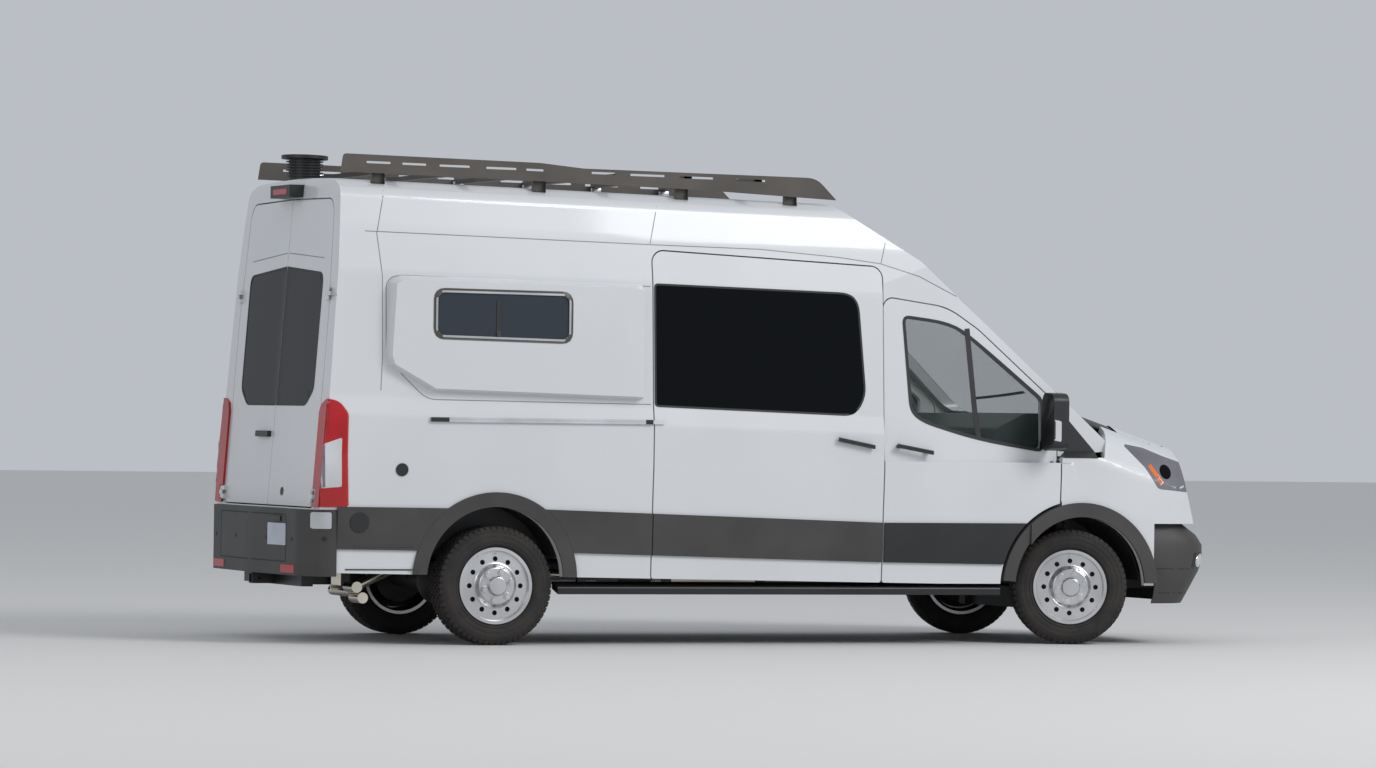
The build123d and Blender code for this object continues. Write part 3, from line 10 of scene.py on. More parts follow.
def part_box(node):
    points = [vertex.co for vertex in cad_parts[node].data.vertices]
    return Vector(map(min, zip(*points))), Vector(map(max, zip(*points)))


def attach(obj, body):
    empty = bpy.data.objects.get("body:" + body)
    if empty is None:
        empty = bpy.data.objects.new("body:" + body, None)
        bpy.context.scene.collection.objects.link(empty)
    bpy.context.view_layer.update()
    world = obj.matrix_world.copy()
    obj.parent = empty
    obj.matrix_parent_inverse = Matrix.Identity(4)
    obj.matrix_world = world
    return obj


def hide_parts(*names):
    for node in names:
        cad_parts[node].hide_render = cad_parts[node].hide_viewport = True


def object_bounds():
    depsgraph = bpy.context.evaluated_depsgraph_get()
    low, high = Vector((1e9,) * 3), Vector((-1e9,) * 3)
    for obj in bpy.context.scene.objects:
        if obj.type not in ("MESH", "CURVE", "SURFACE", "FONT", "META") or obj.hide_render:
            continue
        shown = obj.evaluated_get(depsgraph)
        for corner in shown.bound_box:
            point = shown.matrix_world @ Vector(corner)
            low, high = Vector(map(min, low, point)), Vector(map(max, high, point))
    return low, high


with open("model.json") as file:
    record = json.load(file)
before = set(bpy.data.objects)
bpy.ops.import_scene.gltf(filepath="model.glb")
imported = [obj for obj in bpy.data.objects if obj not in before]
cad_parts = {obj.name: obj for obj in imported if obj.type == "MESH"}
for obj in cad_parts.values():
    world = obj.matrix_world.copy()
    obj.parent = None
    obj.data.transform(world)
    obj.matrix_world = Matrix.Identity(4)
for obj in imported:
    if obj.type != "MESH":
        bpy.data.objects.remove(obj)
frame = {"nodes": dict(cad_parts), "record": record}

cad_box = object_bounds()
NODES = frame["nodes"]

# Camera of the photograph: metres, degrees, and millimetres for the lens and the sensor
CAMERA_AT = Vector((-13.9335, -35.009, 1.372))
CAMERA_YAW = 21.40
CAMERA_PITCH = 0.27
CAMERA_ROLL = 0.75
CAMERA_LENS = 161.73
SENSOR_WIDTH = 36.0

# Sizes and places that several pieces share, in millimetres and degrees
REAR_AXLE_BACK = 1782.5  # from the middle of the van back to the rear axle
WHEELBASE = 3750.0
TYRE_R = 348.0
STEER_AT_REST = 17.0
KINGPIN_Y = 790.0
FRONT_HALF_TRACK = 866.0
REAR_HALF_TRACK = 871.5
ARCH_MIDDLE = (WHEELBASE - 10, 352.0)  # front wheel arch: x, z
ARCH_INNER_R = 426.0
ARCH_OUTER_R = 508.0
SIDES = (("right", -1), ("left", 1))

# Colours, linear
PEARL_WHITE = (0.66, 0.675, 0.69)
CLADDING_GREY = (0.048, 0.046, 0.045)
SOFT_BLACK = (0.016, 0.016, 0.017)
TYRE_BLACK = (0.017, 0.016, 0.016)
ROAD_DUST = (0.046, 0.037, 0.030)
TONE_SPREAD = 0.15  # how far the colour of a grained surface wanders, as a share of it


def new_material(name, colour, roughness, metallic=0.0):
    material = bpy.data.materials.new(name)
    material.use_nodes = True
    shader = material.node_tree.nodes["Principled BSDF"]
    shader.inputs["Base Color"].default_value = (*colour, 1.0)
    shader.inputs["Roughness"].default_value = roughness
    shader.inputs["Metallic"].default_value = metallic
    return material, material.node_tree, shader


def object_noise(tree, scale, detail=2.0):
    where = tree.nodes.new("ShaderNodeTexCoord")
    noise = tree.nodes.new("ShaderNodeTexNoise")
    noise.inputs["Scale"].default_value = scale
    noise.inputs["Detail"].default_value = detail
    tree.links.new(where.outputs["Object"], noise.inputs["Vector"])
    return noise.outputs["Fac"]


def add_bump(tree, shader, source, strength, distance):
    bump = tree.nodes.new("ShaderNodeBump")
    bump.inputs["Strength"].default_value = strength
    bump.inputs["Distance"].default_value = distance
    tree.links.new(source, bump.inputs["Height"])
    tree.links.new(bump.outputs["Normal"], shader.inputs["Normal"])


def colour_by(tree, shader, source, *ends):
    # Base colour that follows a pattern between two ends, each a position and a colour.
    ramp = tree.nodes.new("ShaderNodeValToRGB")
    for element, (position, colour) in zip(ramp.color_ramp.elements, ends):
        element.position = position
        element.color = (*colour, 1.0)
    tree.links.new(source, ramp.inputs["Fac"])
    tree.links.new(ramp.outputs["Color"], shader.inputs["Base Color"])


def grain_material(name, colour, roughness, scale, depth, metallic=0.0):
    # Moulded or painted surface with fine grain and a little unevenness in its colour.
    material, tree, shader = new_material(name, colour, roughness, metallic)
    low = tuple(c * (1 - TONE_SPREAD) for c in colour)
    high = tuple(min(1.0, c * (1 + TONE_SPREAD)) for c in colour)
    colour_by(tree, shader, object_noise(tree, 3.0, 4.0), (0.35, low), (0.65, high))
    add_bump(tree, shader, object_noise(tree, scale, 3.0), 0.6, depth)
    return material


def paint_material():
    # Clear-coated paint with a faint orange peel.
    material, tree, shader = new_material("pearl_paint", PEARL_WHITE, 0.32)
    low = tuple(c * 0.97 for c in PEARL_WHITE)
    colour_by(tree, shader, object_noise(tree, 1.6, 3.0), (0.4, low), (0.6, PEARL_WHITE))
    shader.inputs["Coat Weight"].default_value = 0.6
    shader.inputs["Coat Roughness"].default_value = 0.06
    add_bump(tree, shader, object_noise(tree, 160.0, 1.0), 0.05, 0.0006)
    return material


def glass_material(name, colour, opacity, bend=1.45, ripple=0.1):
    material, tree, shader = new_material(name, colour, 0.02)
    shader.inputs["IOR"].default_value = bend
    shader.inputs["Alpha"].default_value = opacity
    shader.inputs["Specular IOR Level"].default_value = 0.35
    add_bump(tree, shader, object_noise(tree, 1.3, 1.0), ripple, 0.01)
    return material


def tyre_material():
    # Rubber with road dust lying in patches.
    material, tree, shader = new_material("tyre_rubber", TYRE_BLACK, 0.8)
    colour_by(tree, shader, object_noise(tree, 9.0, 6.0), (0.35, TYRE_BLACK), (0.9, ROAD_DUST))
    add_bump(tree, shader, object_noise(tree, 260.0), 0.6, 0.0008)
    return material


# Finish of each of the record's material slots, then those that only the looks use
MATERIALS = {
    "body_paint": paint_material(),
    "cladding": grain_material("moulded_cladding", CLADDING_GREY, 0.55, 700.0, 0.0004),
    "black_plastic": grain_material("black_plastic", SOFT_BLACK, 0.42, 500.0, 0.0003),
    "black_metal": grain_material("black_metal", (0.012, 0.012, 0.013), 0.38, 120.0, 0.0004),
    "dark_glass": glass_material("privacy_glass", (0.004, 0.005, 0.006), 1.0, bend=1.22),
    "clear_glass": glass_material("cab_glass", (0.055, 0.085, 0.075), 0.17, ripple=0.01),
    "tyre": tyre_material(),
    "wheel_metal": grain_material("polished_wheel", (0.62, 0.62, 0.63), 0.28, 90.0, 0.0004, metallic=1.0),
    "bare_metal": grain_material("brushed_aluminium", (0.60, 0.61, 0.62), 0.35, 300.0, 0.0002, metallic=1.0),
    "dark_metal": grain_material("dark_metal", (0.03, 0.03, 0.03), 0.6, 60.0, 0.001),
    "lamp_red": grain_material("red_lens", (0.42, 0.008, 0.012), 0.12, 40.0, 0.0002),
    "lamp_clear": grain_material("clear_lens", (0.17, 0.165, 0.19), 0.1, 40.0, 0.0002),
    "rack_metal": grain_material("rack_plate", (0.085, 0.075, 0.066), 0.42, 200.0, 0.0003),
    "seat_fabric": grain_material("seat_fabric", (0.03, 0.03, 0.034), 0.9, 400.0, 0.002),
    "chrome": grain_material("exhaust_chrome", (0.62, 0.58, 0.50), 0.16, 30.0, 0.0003, metallic=1.0),
}
BLACK_PLASTIC = MATERIALS["black_plastic"]
CLADDING = MATERIALS["cladding"]
DARK_GLASS = MATERIALS["dark_glass"]
RED_LENS = MATERIALS["lamp_red"]
# Near-black laid as painted shade in seams, recesses, openings and behind the wheels' holes, and as the
# parking sensors' own black
SHADE_AND_SENSOR_BLACK = grain_material("seam_shadow", (0.02, 0.02, 0.021), 0.7, 90.0, 0.0002)
# Grey laid on the paint as painted shade along seams and pressed lines
CREASE_SHADE_GREY = grain_material("pressed_line_shade", (0.20, 0.205, 0.21), 0.5, 90.0, 0.0002)
RUBBER = grain_material("window_rubber", (0.022, 0.022, 0.023), 0.6, 300.0, 0.0003)
WHITE_LENS = grain_material("white_lens", (0.55, 0.56, 0.58), 0.15, 60.0, 0.0002)
AMBER_LENS = grain_material("amber_lens", (0.75, 0.16, 0.02), 0.18, 60.0, 0.0002)
BRIGHT_METAL = grain_material("bright_trim", (0.66, 0.67, 0.68), 0.2, 120.0, 0.0002, metallic=1.0)
POD_GLASS = glass_material("pod_window_glass", (0.035, 0.045, 0.058), 1.0)
BLANK_PLATE = grain_material("blank_plate", (0.48, 0.52, 0.58), 0.4, 50.0, 0.0003)


def at(x, y, z):
    # Millimetres from the rear axle into metres of the shared frame.
    return Vector(((x - REAR_AXLE_BACK) / 1000, y / 1000, z / 1000))


# How far out a view's rays start, in millimetres, and the run of a slanted unit step along x and y
RAY_BACK = 2500
NOSE_RAY_X = 6000
CORNER_BACK = 3000
SLANT = sqrt(0.5)

# Where each view's rays start and where they go; a and b are the view's two coordinates in millimetres
VIEWS = {
    "right": (lambda a, b: at(a, -RAY_BACK, b), Vector((0, 1, 0))),
    "left": (lambda a, b: at(a, RAY_BACK, b), Vector((0, -1, 0))),
    "front": (lambda a, b: at(NOSE_RAY_X, a, b), Vector((-1, 0, 0))),
    "rear": (lambda a, b: at(-RAY_BACK, a, b), Vector((1, 0, 0))),
    "rear_corner_right": (lambda a, b: at((a - CORNER_BACK) * SLANT, -(a + CORNER_BACK) * SLANT, b),
                          Vector((SLANT, SLANT, 0))),
    "rear_corner_left": (lambda a, b: at((a - CORNER_BACK) * SLANT, (a + CORNER_BACK) * SLANT, b),
                         Vector((SLANT, -SLANT, 0))),
}


def finish_piece(name, mesh, material, body, smooth=True):
    bmesh.ops.recalc_face_normals(mesh, faces=mesh.faces[:])
    data = bpy.data.meshes.new(name)
    mesh.to_mesh(data)
    mesh.free()
    data.materials.append(material)
    for polygon in data.polygons:
        polygon.use_smooth = smooth
    if smooth:
        data.set_sharp_from_angle(angle=radians(32))
    piece = bpy.data.objects.new(name, data)
    bpy.context.scene.collection.objects.link(piece)
    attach(piece, body)
    return piece


def merged_copy(node):
    # Copy of a node's mesh with its loose triangles joined.
    mesh = bmesh.new()
    mesh.from_mesh(NODES[node].data)
    bmesh.ops.remove_doubles(mesh, verts=mesh.verts, dist=1e-5)
    return mesh


def skin_of(*sources):
    # Search tree over the surfaces of nodes or pieces.
    corners, faces = [], []
    for source in sources:
        thing = NODES[source] if isinstance(source, str) else source
        first = len(corners)
        corners += [thing.matrix_world @ vertex.co for vertex in thing.data.vertices]
        faces += [[first + i for i in polygon.vertices] for polygon in thing.data.polygons]
    return BVHTree.FromPolygons(corners, faces)


def thicken(mesh, shift):
    # Pulls a copy of all faces along shift and walls the sides.
    grown = bmesh.ops.extrude_face_region(mesh, geom=mesh.faces[:])["geom"]
    for item in grown:
        if isinstance(item, bmesh.types.BMVert):
            item.co += shift


def join_rows(mesh, rows, around=False):
    # Faces between rows of as many points each; around closes every row on itself.
    count = len(rows[0])
    for low, high in zip(rows, rows[1:]):
        for i in range(count if around else count - 1):
            j = (i + 1) % count
            mesh.faces.new((low[i], low[j], high[j], high[i]))


def rectangle(a0, a1, b0, b1, reach=0):
    return [(a0, b0, reach), (a1, b0, reach), (a1, b1, reach), (a0, b1, reach)]


def circle(a, b, radius, stretch=1.0, count=28):
    return [(a + radius * cos(2 * pi * k / count), b + radius * stretch * sin(2 * pi * k / count))
            for k in range(count)]


def curve_point(start, bend, end, t):
    return start * (1 - t) ** 2 + bend * 2 * t * (1 - t) + end * t ** 2


def rounded(points, steps=4):
    # Outline with its corners eased; a point is (a, b) or (a, b, reach of the corner).
    result = []
    count = len(points)
    for i, point in enumerate(points):
        corner = Vector(point[:2])
        if len(point) < 3 or point[2] == 0:
            result.append(corner)
            continue
        before = Vector(points[i - 1][:2]) - corner
        after = Vector(points[(i + 1) % count][:2]) - corner
        start = corner + before.normalized() * min(point[2], before.length * 0.48)
        end = corner + after.normalized() * min(point[2], after.length * 0.48)
        result += [curve_point(start, corner, end, k / steps) for k in range(steps + 1)]
    return result


BOX_MARGIN = 0.0002  # metres that laid pieces keep within the solids' own reach
LAID_SINK = 1.0  # millimetres that laid pieces go into what carries them


def inside_box(place):
    return Vector([min(max(place[i], cad_box[0][i] + BOX_MARGIN), cad_box[1][i] - BOX_MARGIN)
                   for i in range(3)])


def drape(mesh, view, skin, lift):
    # Presses a flat mesh onto the surface behind it and gives it thickness.
    origin, way = VIEWS[view]
    missed = []
    for vertex in mesh.verts:
        hit = skin.ray_cast(origin(vertex.co.x, vertex.co.y), way)[0]
        if hit is None:
            missed.append(vertex)
        else:
            vertex.co = inside_box(hit - way * lift / 1000)
    bmesh.ops.delete(mesh, geom=missed, context="VERTS")
    thicken(mesh, way * (lift + LAID_SINK) / 1000)


def laid_plate(name, outline, view, skin, lift, material, body, step=45.0):
    # Plate of an outline laid on a surface, cut into fields no longer than step.
    mesh = bmesh.new()
    flat = rounded(outline)
    mesh.faces.new([mesh.verts.new((p.x, p.y, 0)) for p in flat])
    for axis, normal in enumerate((Vector((1, 0, 0)), Vector((0, 1, 0)))):
        low = min(p[axis] for p in flat)
        high = max(p[axis] for p in flat)
        count = ceil((high - low) / step)
        for k in range(1, count):
            place = normal * (low + (high - low) * k / count)
            everything = mesh.verts[:] + mesh.edges[:] + mesh.faces[:]
            bmesh.ops.bisect_plane(mesh, geom=everything, plane_co=place, plane_no=normal)
    bmesh.ops.triangulate(mesh, faces=[f for f in mesh.faces if len(f.verts) > 4])
    drape(mesh, view, skin, lift)
    return finish_piece(name, mesh, material, body)


def laid_line(name, paths, width, view, skin, lift, material, body, closed=False, step=40.0):
    # Strips of one width laid along paths.
    mesh = bmesh.new()
    for path in paths:
        corners = rounded(path)
        if closed:
            corners = corners + [corners[0]]
        points = [corners[0]]
        for start, end in zip(corners, corners[1:]):
            count = max(1, ceil((end - start).length / step))
            points += [start + (end - start) * k / count for k in range(1, count + 1)]
        rails = []
        last = len(points) - 1
        for i, point in enumerate(points):
            before = points[i - 1] if i > 0 else (points[last - 1] if closed else point)
            after = points[i + 1] if i < last else (points[1] if closed else point)
            along = (after - before).normalized()
            side = Vector((-along.y, along.x)) * width / 2
            rails.append([mesh.verts.new((*(point + side), 0)), mesh.verts.new((*(point - side), 0))])
        join_rows(mesh, rails)
    drape(mesh, view, skin, lift)
    return finish_piece(name, mesh, material, body, False)


def add_box(mesh, low, high, bevel=0.0):
    made = bmesh.ops.create_cube(mesh, size=1.0)["verts"]
    middle, size = (low + high) / 2, high - low
    for vertex in made:
        vertex.co = Vector([middle[i] + vertex.co[i] * abs(size[i]) for i in range(3)])
    if bevel:
        edges = list({edge for vertex in made for edge in vertex.link_edges})
        bmesh.ops.bevel(mesh, geom=edges, offset=bevel, offset_type="OFFSET", affect="EDGES",
                        segments=2, profile=0.5, material=-1)


def dress_nodes():
    slots = {part["node"]: part["material_slot"] for part in frame["record"]["subparts"]}
    for name, node in NODES.items():
        node.data.materials.clear()
        node.data.materials.append(POD_GLASS if name == "pod_glass" else MATERIALS[slots[name]])


# Front bumper: height, and how far back its face lies from the foremost line
BUMPER_LEVELS = [(250, 118), (300, 92), (352, 66), (448, 18), (500, 6), (548, 0), (606, 0), (640, 20),
                 (668, 38), (700, 78), (728, 112), (735, 122)]
BUMPER_FRONT_X = 4762.0
BUMPER_SIDE_Y = 1012.0
BUMPER_BACK_X = 4232.0
BUMPER_WALL = 12.0
BUMPER_SIDE_LEAN = 0.35  # share of the face's lean that the sides have
CORNER_RUN = 360  # from the nose back to where the corner begins
CORNER_BEND = 128
CORNER_WIDTH = 380
FACE_BULGE = 62
PLAN_STEPS = 8


def bumper_plan_line(front_x, side_y):
    # Half of the bumper's plan, from the side at the wheel arch to the middle of the front.
    corner_y = side_y - CORNER_WIDTH
    start = Vector((front_x - CORNER_RUN, side_y))
    bend = Vector((front_x - CORNER_BEND, side_y))
    end = Vector((front_x - FACE_BULGE, corner_y))
    line = [Vector((BUMPER_BACK_X, side_y)), start]
    line += [curve_point(start, bend, end, k / PLAN_STEPS) for k in range(1, PLAN_STEPS + 1)]
    for k in range(1, PLAN_STEPS + 1):
        y = corner_y * (1 - k / PLAN_STEPS)
        line.append(Vector((front_x - FACE_BULGE * (y / corner_y) ** 2, y)))
    return line


def front_bumper_shell():
    # Moulded bumper whose face, corners and lower lip lean back.
    mesh = bmesh.new()
    rows = []
    clear_r = ARCH_OUTER_R + 2
    for inset, levels in ((0.0, BUMPER_LEVELS), (BUMPER_WALL, BUMPER_LEVELS[::-1])):
        for z, back in levels:
            half = bumper_plan_line(BUMPER_FRONT_X - back - inset,
                                    BUMPER_SIDE_Y - back * BUMPER_SIDE_LEAN - inset)
            arch = ARCH_MIDDLE[0] + sqrt(max(0.0, clear_r ** 2 - (z - ARCH_MIDDLE[1]) ** 2))
            points = [(p.x, -p.y) for p in half]
            points[0] = (max(points[0][0], arch), points[0][1])
            points += [(x, -y) for x, y in reversed(points[:-1])]
            rows.append([mesh.verts.new(at(x, y, z)) for x, y in points])
    join_rows(mesh, rows + rows[:1])
    for end in (0, -1):
        rim = [row[end] for row in rows]
        for i in range(len(rim) // 2 - 1):
            mesh.faces.new((rim[i], rim[i + 1], rim[-2 - i], rim[-1 - i]))
    piece = finish_piece("front_bumper_shell", mesh, CLADDING, "van")
    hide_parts("front_bumper")
    return piece


# Openings of the front: y, z, corner reach; those of one side are given for the left
GRILLE_FIELD = [(-548, 772, 40), (-520, 1030, 60), (-470, 1062, 60), (470, 1062, 60), (520, 1030, 60),
                (548, 772, 40)]
INTAKE_FIELD = [(-480, 392, 30), (-430, 524, 30), (430, 524, 30), (480, 392, 30)]
FOG_POCKET = [(860, 462, 12), (985, 470, 12), (985, 560, 12), (850, 562, 12)]
# Heights of the bars and places of the ribs; bars grow shorter with their height above the field's foot
GRILLE_BARS = (800, 858, 916, 974, 1032)
GRILLE_RIBS = range(-448, 449, 112)
GRILLE_FOOT, GRILLE_HALF, GRILLE_TAPER = 772, 540, 0.09
INTAKE_BARS = (425, 458, 491)
INTAKE_FOOT, INTAKE_HALF, INTAKE_TAPER = 392, 468, 0.38
FOG_LAMP_AT = (920, 512)
FOG_LAMP_R = 36
FOG_RING_R = 43
# Round lamps in each headlamp: y, z, radius of the bowl; the eye is a share of it
LAMP_BOWLS = ((700, 1050, 52), (830, 1040, 46))
LAMP_EYE = 0.72
BUMPER_LINES = [[(4240, 462), (4560, 462)], [(4240, 314), (4540, 314)]]


def front_details(bumper):
    face = skin_of("grille", "hood", "headlamps", "fenders")
    # The dark field behind the grille's bars is painted shade in its openings
    laid_plate("grille_field", GRILLE_FIELD, "front", face, 1.5, SHADE_AND_SENSOR_BLACK, "van")
    for k, z in enumerate(GRILLE_BARS):
        half = GRILLE_HALF - GRILLE_TAPER * (z - GRILLE_FOOT)
        bar = rectangle(-half, half, z - 11, z + 11)
        laid_plate("grille_bar_%d" % k, bar, "front", face, 9.0, BLACK_PLASTIC, "van")
    for k, y in enumerate(GRILLE_RIBS):
        rib = rectangle(y - 4, y + 4, 780, 1050)
        laid_plate("grille_rib_%d" % k, rib, "front", face, 5.0, BLACK_PLASTIC, "van")
    low = skin_of(bumper)
    # The dark field behind the intake's bars is painted shade in its openings
    laid_plate("intake_field", INTAKE_FIELD, "front", low, 1.0, SHADE_AND_SENSOR_BLACK, "van")
    for k, z in enumerate(INTAKE_BARS):
        half = INTAKE_HALF - INTAKE_TAPER * (z - INTAKE_FOOT)
        bar = rectangle(-half, half, z - 6, z + 6)
        laid_plate("intake_bar_%d" % k, bar, "front", low, 5.0, CLADDING, "van")
    for tag, sign in SIDES:
        pocket = [(sign * y, z, reach) for y, z, reach in FOG_POCKET]
        lamp, ring = [circle(sign * FOG_LAMP_AT[0], FOG_LAMP_AT[1], r) for r in (FOG_LAMP_R, FOG_RING_R)]
        # The dark pocket round the fog lamp is painted shade in its recess
        laid_plate("fog_pocket_" + tag, pocket, "front", low, 1.0, SHADE_AND_SENSOR_BLACK, "van", step=20)
        laid_plate("fog_lamp_" + tag, lamp, "front", low, 5.0, WHITE_LENS, "van", step=20)
        laid_plate("fog_ring_" + tag, ring, "front", low, 3.0, BRIGHT_METAL, "van", step=20)
        # The dark lines on the bumper's side are painted shade in its pressed lines
        laid_line("bumper_line_" + tag, BUMPER_LINES, 6, tag, low, 0.5, SHADE_AND_SENSOR_BLACK, "van")
        for k, (y, z, r) in enumerate(LAMP_BOWLS):
            bowl, eye = circle(sign * y, z, r), circle(sign * y, z, r * LAMP_EYE)
            laid_plate("lamp_bowl_%s_%d" % (tag, k), bowl, "front", face, 0.6, BRIGHT_METAL, "van", step=20)
            laid_plate("lamp_eye_%s_%d" % (tag, k), eye, "front", face, 1.4, DARK_GLASS, "van", step=20)


# Side features: x, z, and the reach of the corner where one is eased
PILLAR_COVER = [(3612, 1428, 12), (3612, 1131, 8), (3889, 1131, 8)]
DOOR_WINDOW = [(2572, 1968, 40), (2890, 1932, 200), (3050, 1830, 200), (3500, 1480, 40), (3500, 1172, 40),
               (3060, 1238, 200), (2700, 1340, 90), (2618, 1400, 60)]
LOAD_WINDOW = [(970, 2130, 20), (2215, 2098, 70), (2272, 2040, 60), (2314, 1488, 60), (2246, 1372, 70),
               (970, 1412, 20)]
DOOR_MULLION = [(2996, 1903), (3043, 1414), (3070, 1244)]
POD_WINDOW = [(-425, 2068, 55), (412, 2060, 55), (412, 1780, 55), (-425, 1796, 55)]
POD_MULLION = [(-36, 2052), (-36, 1800)]
ROOF_SEAM = [(-823, 2405), (949, 2364), (1651, 2352), (2152, 2315), (2427, 2282), (2681, 2210),
             (2960, 2080), (3120, 1975)]
PANEL_SEAMS = [[(-750, 2399), (-685, 2680)], [(949, 2368), (1027, 2668)], [(2431, 2284), (2475, 2440)],
               [(-752, 2399), (-726, 2144), (-726, 1685), (-738, 1480)]]
POD_SEAM = [(940, 2116), (-650, 2152, 60), (-704, 2110, 40), (-704, 1665, 60), (-456, 1432, 60),
            (940, 1420)]
SIDE_RIBS = [[(-892, 577), (-520, 577)], [(-937, 441), (-484, 441)]]
CORNER_PORT = circle(-861, 714, 58)
CORNER_LAMP = rectangle(-1128, -1030, 676, 772, 12)
BUMPER_SENSOR = circle(-1070, 617, 14)
AMBER_STRIP = [(4212, 1092), (4282, 978)]
LAMP_SIDE_EYE = circle(4318, 1052, 40, 1.1)
LAMP_BRIGHT_STRIP = [(4372, 942), (4440, 966)]
MIRROR_LAMP = [(3448, 1238, 12), (3500, 1228, 12), (3500, 1352, 12), (3448, 1362, 12)]
# Tail lamp seen square to the rear corner: across the corner, z, corner reach
TAIL_LAMP = [(-112, 802, 12), (62, 802, 22), (66, 1345, 20), (16, 1422, 36), (-50, 1430, 20),
             (-112, 1398, 14)]
TAIL_WHITE = [(-100, 905, 10), (40, 920, 10), (44, 1205, 12), (-100, 1135, 12)]
TAIL_STRIP = [(-52, 914, 4), (-30, 916, 4), (-30, 1164, 4), (-52, 1153, 4)]


def side_details(tag, sign):
    side = skin_of("body_side_" + tag, "roof", "fenders", "hood", "side_flares", "side_cladding")
    panel = skin_of("body_side_" + tag)
    door = skin_of("front_door_" + tag, "front_door_glass_" + tag)
    door_body = "front_door_" + tag
    laid_plate("pillar_cover_" + tag, PILLAR_COVER, tag, side, 4.0, BLACK_PLASTIC, "van")
    # The grey lines along the roof, panel and pod seams are painted shade in those seams
    laid_line("roof_seam_" + tag, [ROOF_SEAM], 5, tag, side, 0.6, CREASE_SHADE_GREY, "van")
    laid_line("panel_seams_" + tag, PANEL_SEAMS, 5, tag, side, 0.6, CREASE_SHADE_GREY, "van")
    laid_line("pod_seam_" + tag, [POD_SEAM], 5, tag, panel, 0.6, CREASE_SHADE_GREY, "van")
    laid_line("cladding_ribs_" + tag, SIDE_RIBS, 8, tag, side, 4.0, CLADDING, "van")
    laid_line("door_window_rubber_" + tag, [DOOR_WINDOW], 20, tag, door, 2.5, RUBBER, door_body, closed=True)
    laid_line("door_mullion_" + tag, [DOOR_MULLION], 34, tag, door, 2.0, RUBBER, door_body)
    load = skin_of("sliding_door" if tag == "right" else "body_side_left", "side_glass")
    laid_line("load_window_rubber_" + tag, [LOAD_WINDOW], 12, tag, load, 1.8, RUBBER, "van", closed=True)
    pod = skin_of("side_flares", "pod_window_frames", "pod_glass")
    laid_line("pod_window_mullion_" + tag, [POD_MULLION], 26, tag, pod, 4.0, RUBBER, "van")
    laid_line("pod_window_frame_" + tag, [POD_WINDOW], 26, tag, pod, 3.0, MATERIALS["rack_metal"], "van",
              closed=True)
    corner = "rear_corner_" + tag
    laid_plate("tail_lens_" + tag, TAIL_LAMP, corner, panel, 16.0, RED_LENS, "van", step=20)
    laid_plate("tail_white_" + tag, TAIL_WHITE, corner, panel, 18.0, WHITE_LENS, "van", step=20)
    laid_plate("tail_strip_" + tag, TAIL_STRIP, corner, panel, 19.0, MATERIALS["lamp_clear"], "van",
               step=20)
    laid_plate("corner_port_" + tag, CORNER_PORT, tag, side, 5.0, BLACK_PLASTIC, "van")
    rear = skin_of("rear_bumper")
    laid_plate("corner_lamp_" + tag, CORNER_LAMP, tag, rear, 4.0, WHITE_LENS, "van", step=20)
    laid_plate("bumper_sensor_" + tag, BUMPER_SENSOR, tag, rear, 2.0, SHADE_AND_SENSOR_BLACK, "van")
    lamp = skin_of("headlamps")
    laid_line("amber_strip_" + tag, [AMBER_STRIP], 28, tag, lamp, 1.0, AMBER_LENS, "van")
    laid_plate("lamp_side_eye_" + tag, LAMP_SIDE_EYE, tag, lamp, 1.5, DARK_GLASS, "van", step=20)
    laid_line("lamp_bright_strip_" + tag, [LAMP_BRIGHT_STRIP], 12, tag, lamp, 1.5, WHITE_LENS, "van")
    mirror = skin_of(door_trim(tag, sign))
    laid_plate("mirror_lamp_" + tag, MIRROR_LAMP, tag, mirror, 1.5, WHITE_LENS, door_body, step=15)
    wing_filler(tag, sign)
    flare_sector("door_flare_" + tag, sign, 109, 176, door_body)
    flare_sector("wing_flare_end_" + tag, sign, 99, 106.5, "van")


# Front door's trim in millimetres: the box of the straight handle as x and z, the slanted one's ends as x, z
STRAIGHT_HANDLE_X = (2505, 2747)
STRAIGHT_HANDLE_Z = (1155, 1195)
DOOR_HANDLE = ((2511, 1194), (2741, 1154))
# In metres from the middle: where the mirror's head begins, and as far as it may reach under its lamp
MIRROR_HEAD_Y = 1.07
MIRROR_REACH = 1.2350


def door_trim(tag, sign):
    # The door's mirror with its edges eased, and its foot; a slanted handle takes the straight one's place.
    mesh = merged_copy("front_door_trim_" + tag)
    straight = []
    for vertex in mesh.verts:
        x, z = vertex.co.x * 1000 + REAR_AXLE_BACK, vertex.co.z * 1000
        if (STRAIGHT_HANDLE_X[0] < x < STRAIGHT_HANDLE_X[1]
                and STRAIGHT_HANDLE_Z[0] < z < STRAIGHT_HANDLE_Z[1]):
            straight.append(vertex)
    bmesh.ops.delete(mesh, geom=straight, context="VERTS")
    corners = [e for e in mesh.edges if len(e.link_faces) == 2 and e.calc_face_angle(0) > radians(50)
               and min(abs(v.co.y) for v in e.verts) > MIRROR_HEAD_Y]
    bmesh.ops.bevel(mesh, geom=corners, offset=0.012, offset_type="OFFSET", affect="EDGES", segments=3,
                    profile=0.5, material=-1, clamp_overlap=True)
    for vertex in mesh.verts:
        vertex.co.y = copysign(min(abs(vertex.co.y), MIRROR_REACH), vertex.co.y)
    trim = finish_piece("door_trim_" + tag, mesh, BLACK_PLASTIC, "front_door_" + tag)
    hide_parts("front_door_trim_" + tag)
    pull_bar("front_handle_" + tag, *DOOR_HANDLE, "front_door_" + tag, sign)
    return trim


